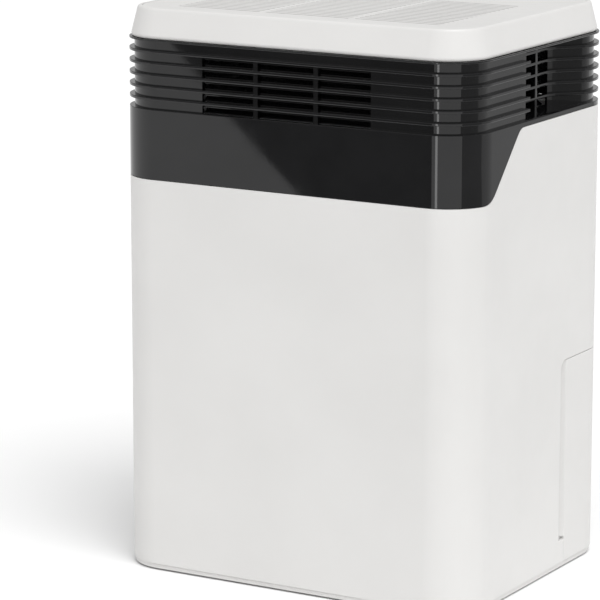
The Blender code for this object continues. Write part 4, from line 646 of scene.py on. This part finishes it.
def make_cap():
    low, high = CAP_LOW.z, CAP_HIGH.z
    outer = [(CAP_IN + 0.0011, low), (CAP_IN + 0.0008, low + 0.0001), (CAP_IN + 0.0006, low + 0.0004),
             (CAP_IN, low + 0.0020), (CAP_IN + 0.0002, low + 0.0034)]
    edge_in = CAP_IN + CAP_LEAN
    outer += [(edge_in - 0.0003, high - CAP_RIM - 0.0010), (edge_in + 0.0002, high - CAP_RIM + 0.0002),
              (edge_in + 0.0007, high - 0.0006), (edge_in + 0.0014, high - 0.00015), (edge_in + 0.0022, high)]
    seat = GRILLE_LOW.z - GAP
    lip = INSERT_IN - GAP
    outer += [(lip - 0.0004, high), (lip - 0.0001, high - 0.0001), (lip, high - 0.0004), (lip, seat)]
    outer += [(lip + 0.006, seat), (lip + 0.006, seat - 0.0025), (CAP_IN + CAP_LEAN + WALL, seat - 0.0025),
              (CAP_IN + WALL, low)]
    cap = swept_ring("cap_shell", casing_outline(), outer)
    bridge = block("bridge", (-SIDE + lip + 0.003, SEAM_Y - 0.003, seat - 0.0024),
                   (SIDE - lip - 0.003, SEAM_Y + 0.003, seat - 0.0001))
    cap = join("cap_shell", [cap, bridge])
    finish(cap, LOOK["white"], "white_shell", "housing", "top_cap", angle=50)


def insert_outline(rear):
    """The part of the cap's top in front of the seam, or behind it."""
    whole = casing_outline(INSERT_IN)
    turn = STEPS + 1
    side = SIDE - INSERT_IN
    if rear:
        seam = SEAM_Y + GAP / 2
        return [(side, seam)] + whole[turn:3 * turn] + [(-side, seam)]
    seam = SEAM_Y - GAP / 2
    return whole[:turn] + [(side, seam), (-side, seam)] + whole[3 * turn:]


def make_grille():
    """Fine slats across the front of the top, in three columns, with a sloped edge to each slot."""
    low, high = GRILLE_LOW.z, GRILLE_HIGH.z
    plate = soft_prism("slat_grille", insert_outline(False), low, high, both=False)
    side = SIDE - INSERT_IN - 0.035
    front = FRONT + INSERT_IN + 0.022
    rear = GRILLE_HIGH.y - 0.010
    pitch, slot = 0.00845, 0.0036
    rows = [(front + i * pitch, front + i * pitch + slot) for i in range(int((rear - front) / pitch))]
    columns = spans(-side, side, 3, 0.005)
    carve(plate, grid("slots", columns, rows, low - PAST, high + PAST, "Z"))
    round_edges(plate, EDGE, angle=60)
    finish(plate, LOOK["white"], "white_shell", "housing", "top_grille", angle=30)


def make_control_panel():
    low, high = GRILLE_LOW.z, PANEL_HIGH.z
    panel = soft_prism("key_panel", insert_outline(True), low, high, both=False)
    lens_low, lens_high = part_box("display_lens")
    hole = rounded_rectangle((lens_low.x - GAP, lens_low.y - GAP), (lens_high.x + GAP, lens_high.y + GAP),
                             LENS_ROUND + GAP)
    carve(panel, prism("hole", hole, low - PAST, high + PAST))
    for name in ("button_power", "button_mode", "button_speed", "button_timer"):
        centre = middle_of(name)
        carve(panel, prism("hole", circle((centre.x, centre.y), 0.0069), low - PAST, high + PAST))
    round_edges(panel, HOLE_EDGE, angle=60)
    posts = []
    post_in, post_radius = 0.006, 0.0025
    board_low, board_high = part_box("control_board")
    for sx in (-1, 1):
        for y in (board_low.y + post_in, board_high.y - post_in):
            posts.append(prism("post", circle((sx * (board_high.x - post_in), y), post_radius, 24),
                               board_high.z + GAP, low + 0.0005))
    panel = join("key_panel", [panel] + posts)
    finish(panel, LOOK["white"], "white_shell", "housing", "control_panel", angle=30)
    outline = rounded_rectangle((lens_low.x, lens_low.y), (lens_high.x, lens_high.y), LENS_ROUND)
    lens = soft_prism("display_window", outline, lens_low.z, lens_high.z, both=False)
    finish(lens, LOOK["smoke"], "smoke_lens", "housing", "display_lens")
    make_digits((lens_low + lens_high) / 2, lens_high.z)
    make_keys(high)


def measure(node):
    """Lowest and highest corners of a node at rest, and its middle."""
    low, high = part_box(node)
    return low, high, (low + high) / 2


def middle_of(node):
    return measure(node)[2]


def make_digits(centre, top):
    """Two unlit seven-bar digits and a row of small lamps under the lens, as thin printed plates."""
    bar, width, half, height = 0.0038, 0.0007, 0.0024, 0.0027
    low, high = top - 0.0001, top + 0.00004
    plates = []
    for offset in (-0.0042, 0.0042):
        x0, y0 = centre.x + offset, centre.y + 0.0012
        flat = [(x0, y0 + k * height, bar, width) for k in (-1, 0, 1)]
        tall = [(x0 + sx * half, y0 + sy * height / 2, width, bar * 0.55) for sx in (-1, 1) for sy in (-1, 1)]
        for x, y, w, h in flat + tall:
            plates.append(block("bar", (x - w / 2, y - h / 2, low), (x + w / 2, y + h / 2, high)))
    for i in range(5):
        x = centre.x + (i - 2) * 0.0075
        plates.append(prism("lamp", circle((x, centre.y - 0.0075), 0.0006, 16), low, high))
    finish(join("display_digits", plates), LOOK["mark"], "smoke_lens", "housing")


def key_mark(name, centre, top):
    """A plain generic mark: a ring with a gap and a bar, a drop, rising bars, or a clock's hands."""
    x, y = centre.x, centre.y
    low, high = top - 0.0001, top + 0.00005
    line = 0.0003  # half the width of a line
    parts = []

    def bow(radius, start, end, mid=(x, y)):
        outer = arc(mid, radius + line, start, end, 20)
        inner = arc(mid, radius - line, end, start, 20)
        parts.append(prism("bow", outer + inner, low, high))

    def dash(cx, cy, angle, length, width=line):
        along = Vector((math.cos(angle), math.sin(angle))) * length / 2
        across = Vector((-math.sin(angle), math.cos(angle))) * width
        middle = Vector((cx, cy))
        parts.append(prism("dash", [tuple(middle + p) for p in (-along - across, along - across,
                                                                 along + across, across - along)], low, high))

    if name == "button_power":
        bow(0.0024, math.radians(125), math.radians(415))
        dash(x, y + 0.0019, QUARTER, 0.0026)
    elif name == "button_mode":
        bow(0.0016, math.radians(150), math.radians(390), mid=(x, y - 0.0007))
        dash(x - 0.0007, y + 0.0010, math.radians(62), 0.0025)
        dash(x + 0.0007, y + 0.0010, math.radians(118), 0.0025)
    elif name == "button_speed":
        for i in range(3):
            tall = 0.0016 + i * 0.0014
            dash(x + (i - 1) * 0.0016, y - 0.0022 + tall / 2, QUARTER, tall, 0.0004)
    else:
        bow(0.0025, 0.0, 2 * math.pi - 0.001)
        dash(x, y + 0.0009, QUARTER, 0.0018, 0.00025)
        dash(x + 0.0007, y, 0.0, 0.0014, 0.00025)
    return parts


def make_keys(top):
    bodies = {"button_power": "power_key", "button_mode": "mode_key", "button_speed": "speed_key",
              "button_timer": "timer_key"}
    for node, body in bodies.items():
        low, high, centre = measure(node)
        radius, skirt = 0.0065, high.x - centre.x
        shoulder = low.z + 0.0029  # underside of the skirt that holds the key in
        skirt_top = shoulder + 0.0015
        profile = [(TIP, high.z - 0.0003), (0.0030, high.z - 0.00025), (0.0050, high.z - 0.0001),
                   (radius - 0.0007, high.z), (radius - 0.0002, high.z - 0.0002), (radius, high.z - 0.0007),
                   (radius, skirt_top), (skirt, skirt_top), (skirt, shoulder), (radius, shoulder),
                   (radius, low.z), (TIP, low.z)]
        key = turned(node + "_key", profile, (centre.x, centre.y, 0.0), steps=56)
        finish(key, LOOK["grey"], "grey_plastic", body, node)
        mark = join(node + "_mark", key_mark(node, centre, high.z - 0.00025))
        finish(mark, LOOK["white"], "white_shell", body)


# ---- rear cover, filter
def screw_nodes():
    return [f"cover_screw_{i}" for i in range(1, 5)]


def upright_rectangle(low, high):
    return [(low.x, low.z), (high.x, low.z), (high.x, high.z), (low.x, high.z)]


def make_rear_cover():
    low, high = COVER_LOW, COVER_HIGH
    front = low.y
    cover = soft_prism("back_cover", rounded_rectangle((low.x, low.z), (high.x, high.z), 0.0012, 4),
                       front, REAR, "Y")
    window = rounded_rectangle((FILTER_LOW.x - GAP, FILTER_LOW.z - GAP),
                               (FILTER_HIGH.x + GAP, FILTER_HIGH.z + GAP), 0.0006, 3)
    carve(cover, prism("hole", window, front - PAST, REAR + PAST, "Y"))
    notch = rounded_rectangle((-0.022, FILTER_HIGH.z - 0.004), (0.022, FILTER_HIGH.z + 0.0095), 0.006)
    carve(cover, prism("notch", notch, front - PAST, REAR + PAST, "Y"))
    for node, radius in (("drain_port", 0.0058), ("cord_gland", 0.0078)):
        centre = middle_of(node)
        carve(cover, prism("hole", circle((centre.x, centre.z), radius), front - PAST, REAR + PAST, "Y"))
    for node in screw_nodes():
        centre = middle_of(node)
        carve(cover, prism("hole", circle((centre.x, centre.z), 0.0019, 32), front - PAST, REAR + PAST, "Y"))
        carve(cover, prism("sink", circle((centre.x, centre.z), 0.0038, 32), REAR - 0.0021, REAR + PAST, "Y"))
    round_edges(cover, HOLE_EDGE, angle=60)
    finish(cover, LOOK["white"], "white_shell", "housing", "rear_cover", angle=30)
    for node in screw_nodes():
        make_screw(node)


def make_screw(node):
    """Pan-head screw, head outwards, with a cross recess."""
    low, high, centre = measure(node)
    radius = (high.x - low.x) / 2
    length = high.y - low.y
    thread = []
    turns = 14
    for i in range(turns):
        h = length - 0.0003 - i * (length - 0.0024) / turns
        thread += [(0.00125, h), (0.0016, h - 0.00012)]
    head = [(0.0016, 0.0019), (radius, 0.0018), (radius, 0.0009), (radius * 0.94, 0.0005),
            (radius * 0.75, 0.0002), (radius * 0.45, 0.00005), (TIP, 0.0)]
    profile = [(TIP, length), (0.0009, length)] + thread + head
    screw = turned(node + "_head", profile, (centre.x, high.y, centre.z), "Y", 40)
    for a, b in ((0.002, 0.00045), (0.00045, 0.002)):
        carve(screw, block("cross", (centre.x - a, high.y - 0.0010, centre.z - b),
                           (centre.x + a, high.y + PAST, centre.z + b)))
    finish(screw, LOOK["steel"], "steel", "housing", node, angle=40)


def make_filter():
    low, high = FILTER_LOW, FILTER_HIGH
    face = REAR - 0.003
    frame_piece = soft_prism("filter_grille", upright_rectangle(low, high), low.y, REAR, "Y")
    carve(frame_piece, block("pocket", (low.x + 0.0025, low.y - PAST, low.z + 0.0025),
                             (high.x - 0.0025, face, high.z - 0.0025)))
    pitch, slot, count = 0.0090, 0.0054, 16
    first = (low.z + high.z) / 2 - pitch * count / 2 + (pitch - slot) / 2
    rows = [(first + i * pitch, first + i * pitch + slot) for i in range(count)]
    carve(frame_piece, grid("slots", spans(low.x + 0.008, high.x - 0.008, 3, 0.005), rows, face - 0.002,
                            REAR + PAST, "Y"))
    round_edges(frame_piece, EDGE, angle=60)
    finish(frame_piece, LOOK["white"], "white_shell", "filter", "filter_frame", angle=30)
    make_net()


def make_net():
    """Woven net in the filter frame: fine threads both ways inside a thin border."""
    low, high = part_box("filter_mesh")
    middle = (low.y + high.y) / 2
    pitch, half = 0.0026, 0.00018
    shape = bmesh.new()

    def thread(a, b, c, d, y):
        outline = [(a, b), (c, b), (c, d), (a, d)]
        loft_into(shape, [[(u, w, v) for u, v in outline] for w in (y - half, y + half)], False)

    for i in range(1, int((high.x - low.x) / pitch)):
        x = low.x + i * pitch
        thread(x - half, low.z + 0.001, x + half, high.z - 0.001, middle + half)
    for i in range(1, int((high.z - low.z) / pitch)):
        z = low.z + i * pitch
        thread(low.x + 0.001, z - half, high.x - 0.001, z + half, middle - half)
    net = make_object("net", shape)
    border = prism("border", upright_rectangle(low, high), low.y, high.y, "Y")
    carve(border, block("hole", (low.x + 0.002, low.y - PAST, low.z + 0.002),
                        (high.x - 0.002, high.y + PAST, high.z - 0.002)))
    finish(join("filter_net", [net, border]), LOOK["mesh"], "filter_mesh", "filter", "filter_mesh")


def make_fittings():
    """Drain outlet, its plug and the cord's rubber gland in the rear cover."""
    low, high, centre = measure("drain_port")
    length = high.y - low.y
    profile = [(0.0035, length), (0.0055, length), (0.0055, 0.0006), (0.0053, 0.0002), (0.0049, 0.0),
               (0.0040, 0.0), (0.0036, 0.0002), (0.0035, 0.0006)]
    port = turned("drain_outlet", profile, (centre.x, high.y, centre.z), "Y", 48)
    finish(port, LOOK["grey"], "grey_plastic", "housing", "drain_port")
    low, high, centre = measure("drain_plug")
    radius, length = (high.x - low.x) / 2, high.y - low.y
    ribs = []
    for i in range(4):
        h = length - 0.0008 - i * 0.0019
        ribs += [(radius * 0.86, h), (radius, h - 0.0006), (radius * 0.86, h - 0.0012)]
    profile = [(TIP, length), (radius * 0.8, length)] + ribs + [
        (radius * 0.9, 0.0004), (radius * 0.75, 0.0001), (radius * 0.4, 0.0004), (TIP, 0.0006)]
    plug = turned("plug_rubber", profile, (centre.x, high.y, centre.z), "Y", 40)
    finish(plug, LOOK["rubber"], "rubber", "plug", "drain_plug")
    low, high, centre = measure("cord_gland")
    flange = high.y - low.y
    profile = [(0.0036, flange), (0.0095, flange), (0.0095, flange - 0.0017), (0.0075, flange - 0.0017),
               (0.0075, 0.0005), (0.0071, 0.0001), (0.0065, 0.0), (0.0046, 0.0), (0.0039, 0.0002),
               (0.0036, 0.0008)]
    gland = turned("cord_inlet", profile, (centre.x, high.y, centre.z), "Y", 48)
    finish(gland, LOOK["rubber"], "rubber", "housing", "cord_gland")


# ---- water tank
def tank_outline():
    front = TANK_LOW.y
    ramp = front + TANK_RAMP[1]
    rear = casing_outline()[STEPS + 1:3 * (STEPS + 1)]
    edge = SIDE - TANK_RAMP[0]
    return [(edge, front), (SIDE, ramp)] + rear + [(-SIDE, ramp), (-edge, front)]


def make_tank():
    low, high = TANK_LOW, TANK_HIGH
    tank = prism("tank_shell", tank_outline(), low.z, high.z)
    carve(tank, prism("inside", inset(tank_outline(), WALL), low.z + WALL, high.z + PAST))
    for sign in (-1, 1):
        carve(tank, side_block("step", sign, (SIDE - WALL - 0.0007, SIDE + PAST),
                               (low.y - PAST, low.y + TANK_STEP), (low.z - PAST, BAY_FOOT + STEP_ROOM)))
    pane_low, pane_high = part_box("level_window")
    half = pane_high.x
    hole = rounded_rectangle((-half - GAP, pane_low.z - GAP), (half + GAP, pane_high.z + GAP), half)
    carve(tank, prism("hole", hole, REAR - 0.0125, REAR + PAST, "Y"))
    round_edges(tank, RIM_EDGE, segments=3, angle=30)
    float_low, float_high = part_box("tank_float")
    x, y = (float_low.x + float_high.x) / 2, (float_low.y + float_high.y) / 2
    post = prism("post", circle((x, y), 0.005, 32), low.z + WALL - 0.0005, high.z - 0.0045)
    tank = join("tank_shell", [tank, post])
    finish(tank, LOOK["white"], "white_shell", "tank", "water_tank", angle=28)
    pane = soft_prism("level_pane", rounded_rectangle((-half, pane_low.z), (half, pane_high.z), half - GAP),
                      pane_low.y, pane_high.y, "Y")
    finish(pane, LOOK["smoke"], "smoke_lens", "tank", "level_window")
    ticks = []
    count = 8
    for i in range(count + 1):
        z = pane_low.z + 0.012 + i * (pane_high.z - pane_low.z - 0.024) / count
        long = 0.0042 if i % 4 == 0 else 0.0026
        ticks.append(block("tick", (-long, pane_high.y - 0.0001, z - 0.0003),
                           (long, pane_high.y + 0.00005, z + 0.0003)))
    finish(join("level_ticks", ticks), LOOK["mark"], "smoke_lens", "tank")


def make_float():
    """Foam float: a ring with rounded edges that slides on the tank's post."""
    low, high, centre = measure("tank_float")
    radius, bore, edge = (high.x - low.x) / 2, 0.0055, 0.0012
    profile = [(bore, high.z), (radius - edge, high.z), (radius - edge * 0.3, high.z - edge * 0.3),
               (radius, high.z - edge), (radius, low.z + edge), (radius - edge * 0.3, low.z + edge * 0.3),
               (radius - edge, low.z), (bore, low.z)]
    ring = turned("float_ring", profile, (centre.x, centre.y, 0.0), steps=48)
    finish(ring, LOOK["foam"], "white_foam", "float", "tank_float")


def make_lid():
    """Tank lid with its inlet, its pouring hole and shallow stiffening ribs."""
    low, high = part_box("tank_lid")
    lid = soft_prism("tank_cover", inset(tank_outline(), WALL + GAP), low.z, high.z)
    for place in (INLET, (SPOUT_IN[0] - SIDE, REAR - SPOUT_IN[1])):
        carve(lid, prism("hole", circle(place, LID_HOLE), low.z - PAST, high.z + PAST))
    carve(lid, grid("ribs", spans(-0.010, 0.150, 5, 0.012), [(low.y + 0.016, high.y - 0.016)],
                    high.z - 0.0008, high.z + PAST, "Z"))
    round_edges(lid, HOLE_EDGE, angle=60)
    finish(lid, LOOK["grey"], "grey_plastic", "tank", "tank_lid", angle=30)


# ---- coils
def make_coil(node, pitch):
    """Thin aluminium fins between two end plates, with the copper tubes' bends at both ends."""
    low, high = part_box(node)
    plate, rim = 0.0015, 0.003
    half = high.x - plate
    thick = 0.00025
    shape = bmesh.new()
    count = int(2 * half / pitch)
    for i in range(count + 1):
        x = -half + i * 2 * half / count
        outline = [(low.y + rim / 2, low.z + rim), (high.y - rim / 2, low.z + rim),
                   (high.y - rim / 2, high.z - rim), (low.y + rim / 2, high.z - rim)]
        loft_into(shape, [[(w, u, v) for u, v in outline] for w in (x - thick / 2, x + thick / 2)], False)
    fins = make_object("fins", shape)
    plates = []
    for sign in (-1, 1):
        end = side_block("plate", sign, (half, half + plate), (low.y, high.y), (low.z, high.z))
        plates.append(round_edges(end, FINE_EDGE))
    finish(join(node + "_fins", [fins] + plates), LOOK["aluminium"], "aluminium", "housing", node)
    tubes = []
    rows = 8
    step = (high.z - low.z - 2 * rim) / rows
    y = (low.y + high.y) / 2
    for i in range(rows):
        z = low.z + rim + (i + 0.5) * step
        tubes.append(prism("tube", circle((y, z), 0.0032, 20), -half + 0.0002, half - 0.0002, "X"))
    finish(join(node + "_tubes", tubes), LOOK["copper"], "copper", "housing")


# ---- base, feet
FEET = ("foot_front_left", "foot_front_right", "foot_rear_left", "foot_rear_right")


def make_foot(node):
    """Rubber foot: a stem through the pan and a pad with a ring groove underneath."""
    low, high, centre = measure(node)
    radius = (high.x - low.x) / 2
    profile = [(TIP, high.z), (0.0037, high.z), (0.0040, high.z - 0.0003), (0.0040, 0.0027),
               (radius - 0.0004, 0.0027), (radius, 0.0023), (radius, 0.0006), (radius - 0.0006, 0.0),
               (radius - 0.003, 0.0), (radius - 0.0034, 0.0005), (radius - 0.0044, 0.0005),
               (radius - 0.0048, 0.0), (TIP, 0.0)]
    pad = turned(node + "_pad", profile, (centre.x, centre.y, 0.0))
    finish(pad, LOOK["rubber"], "rubber", "housing", node)


def make_base():
    """Base pan: a thin plate with a rim that hangs below it, and the compressor's studs on it."""
    plate = soft_prism("base_plate", casing_outline(0.0012), PAN_LOW.z, PAN_LOW.z + 0.0025, edge=EDGE)
    studs = []
    for i in range(1, 4):
        centre = middle_of(f"compressor_grommet_{i}")
        studs.append(prism("stud", circle((centre.x, centre.y), 0.004, 24), PAN_LOW.z + 0.002, PAN_HIGH.z))
    for node in FEET:
        centre = middle_of(node)
        hole = prism("hole", circle((centre.x, centre.y), 0.0043, 24), PAN_LOW.z - PAST, PAN_LOW.z + 0.012)
        carve(plate, hole)
        make_foot(node)
    rim = [(0.0032, 0.0016), (0.0015, 0.0016), (0.0012, 0.0019), (0.0012, 0.0035), (0.0032, 0.0035)]
    studs.append(swept_ring("pan_rim", casing_outline(), rim))
    finish(join("base_plate", [plate] + studs), LOOK["white"], "white_shell", "housing", "base_pan", angle=30)


# ---- pieces kept from CAD
KEPT = {
    "grey": ("chassis_frame", "drip_tray", "fan_baffle", "fan_scroll"),
    "dark": ("fan_wheel", "terminal_cover", "electrics_box", "tank_switch"),
    "rubber": ("compressor_grommet_1", "compressor_grommet_2", "compressor_grommet_3"),
    "steel": ("fan_motor", "fan_shaft", "motor_bracket"),
    "paint": ("compressor_shell", "compressor_plate", "accumulator"),
    "copper": ("return_bend", "suction_pipe", "discharge_pipe", "liquid_pipe", "filter_drier",
               "capillary_tube"),
    "aluminium": ("run_capacitor",),
    "green": ("control_board", "power_board", "humidity_sensor"),
}


def dress_kept():
    for shade, nodes in KEPT.items():
        for node in nodes:
            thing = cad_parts[node]
            thing.data.materials.clear()
            thing.data.materials.append(LOOK[shade])


# ---- studio and camera
def plain_material(name, colour, strength=0.0):
    material = bpy.data.materials.new(name)
    material.use_nodes = True
    shader = material.node_tree.nodes["Principled BSDF"]
    shader.inputs["Base Color"].default_value = (*colour, 1.0)
    shader.inputs["Roughness"].default_value = 0.9
    shader.inputs["Specular IOR Level"].default_value = 0.0
    if strength:
        shader.inputs["Base Color"].default_value = (0.0, 0.0, 0.0, 1.0)
        shader.inputs["Emission Color"].default_value = (*colour, 1.0)
        shader.inputs["Emission Strength"].default_value = strength
    return material


def area_light(name, place, target, width, height, power):
    """A rectangular lamp that the camera doesn't see."""
    data = bpy.data.lights.new(name, "AREA")
    data.shape = "RECTANGLE"
    data.size = width
    data.size_y = height
    data.energy = power
    lamp = add_object(name, data)
    lamp.location = place
    lamp.rotation_euler = (Vector(target) - Vector(place)).to_track_quat("-Z", "Y").to_euler()
    lamp.visible_camera = False


def stage_face(name, corners, material):
    """One flat face that belongs to the studio."""
    shape = bmesh.new()
    shape.faces.new([shape.verts.new(corner) for corner in corners])
    face = make_object(name, shape)
    face.data.materials.append(material)
    return face


def studio_card(name, corners, shade):
    """A grey card out of view that only reflections see."""
    card = stage_face(name, corners, plain_material(name + "_face", (shade, shade, shade), 1.0))
    card.visible_camera = False
    card.visible_diffuse = False
    card.visible_shadow = False
    card.visible_transmission = False


CARD_FOOT = 0.001  # cards stand just above the floor
FRONT_CARD_Y = -1.2  # the card that the front panel mirrors
SIDE_CARD_X = 0.9  # the cards that the side and its corner mirror
SIDE_CARD_TOP = 0.5
CARD_JOIN = 0.19  # where the grey card meets the pale one


def side_card(name, start, end, shade):
    x, foot, top = SIDE_CARD_X, CARD_FOOT, SIDE_CARD_TOP
    studio_card(name, [(x, start, foot), (x, end, foot), (x, end, top), (x, start, top)], shade)


def make_cards():
    y, right, top = FRONT_CARD_Y, -0.04, 0.45
    left_top, left_foot = -0.967, -0.466  # the card's left edge leans out
    corners = [(right, y, CARD_FOOT), (right, y, top), (left_top, y, top), (left_foot, y, CARD_FOOT)]
    studio_card("dark_card", corners, 0.20)
    side_card("grey_card", -0.54, CARD_JOIN, 0.36)
    side_card("pale_card", CARD_JOIN, 1.70, 0.66)


def make_lights():
    """An even white sky, a soft key from the front right, and a strip that the corner mirrors."""
    world = bpy.data.worlds.new("studio_sky")
    bpy.context.scene.world = world
    world.use_nodes = True
    sky = world.node_tree.nodes["Background"]
    sky.inputs["Color"].default_value = (1.0, 1.0, 1.0, 1.0)
    sky.inputs["Strength"].default_value = 0.60
    sun = bpy.data.lights.new("key", "SUN")
    sun.energy = 2.0
    sun.angle = math.radians(42)
    lamp = add_object("key", sun)
    lamp.rotation_euler = Vector((-0.41, 0.30, -0.87)).to_track_quat("-Z", "Y").to_euler()
    area_light("corner_strip", (0.172, -1.30, 0.22), (0.15, -0.12, 0.40), 0.11, 0.6, 0.65)


def make_studio():
    half = 12.0
    corners = [(-half, -half, 0), (half, -half, 0), (half, half, 0), (-half, half, 0)]
    stage_face("studio_floor", corners, plain_material("floor_paper", (0.93, 0.93, 0.93)))
    make_lights()
    make_cards()
    bpy.context.scene.view_settings.view_transform = "Standard"
    bpy.context.scene.view_settings.look = "None"


AZIMUTH = math.radians(30.35)  # camera's direction, right of the front
ELEVATION = math.radians(12.045)  # and above level
DISTANCE = 2.9937
AIM_HEIGHT = 0.2575
MOVED_LEFT = 0.05723  # camera's place beside the line to its aim
MOVED_DOWN = 0.02289


def make_camera():
    """A long lens at the viewing angle of a product shot: right of the front and a little above."""
    back = Vector((math.sin(AZIMUTH) * math.cos(ELEVATION), -math.cos(AZIMUTH) * math.cos(ELEVATION),
                   math.sin(ELEVATION)))
    right = Vector((math.cos(AZIMUTH), math.sin(AZIMUTH), 0.0))
    above = back.cross(right)
    data = bpy.data.cameras.new("camera")
    data.lens = 202.5
    data.sensor_width = 36.0
    camera = add_object("camera", data)
    aim = Vector((0.0, 0.0, AIM_HEIGHT))
    camera.location = aim + back * DISTANCE - right * MOVED_LEFT - above * MOVED_DOWN
    camera.rotation_euler = (-back).to_track_quat("-Z", "Y").to_euler()
    bpy.context.scene.camera = camera


make_camera()
make_casing()
make_band()
make_cap()
make_grille()
make_control_panel()
make_rear_cover()
make_filter()
make_fittings()
make_tank()
make_float()
make_lid()
make_coil("evaporator_coil", 0.0021)
make_coil("condenser_coil", 0.0021)
make_base()
dress_kept()
make_studio()
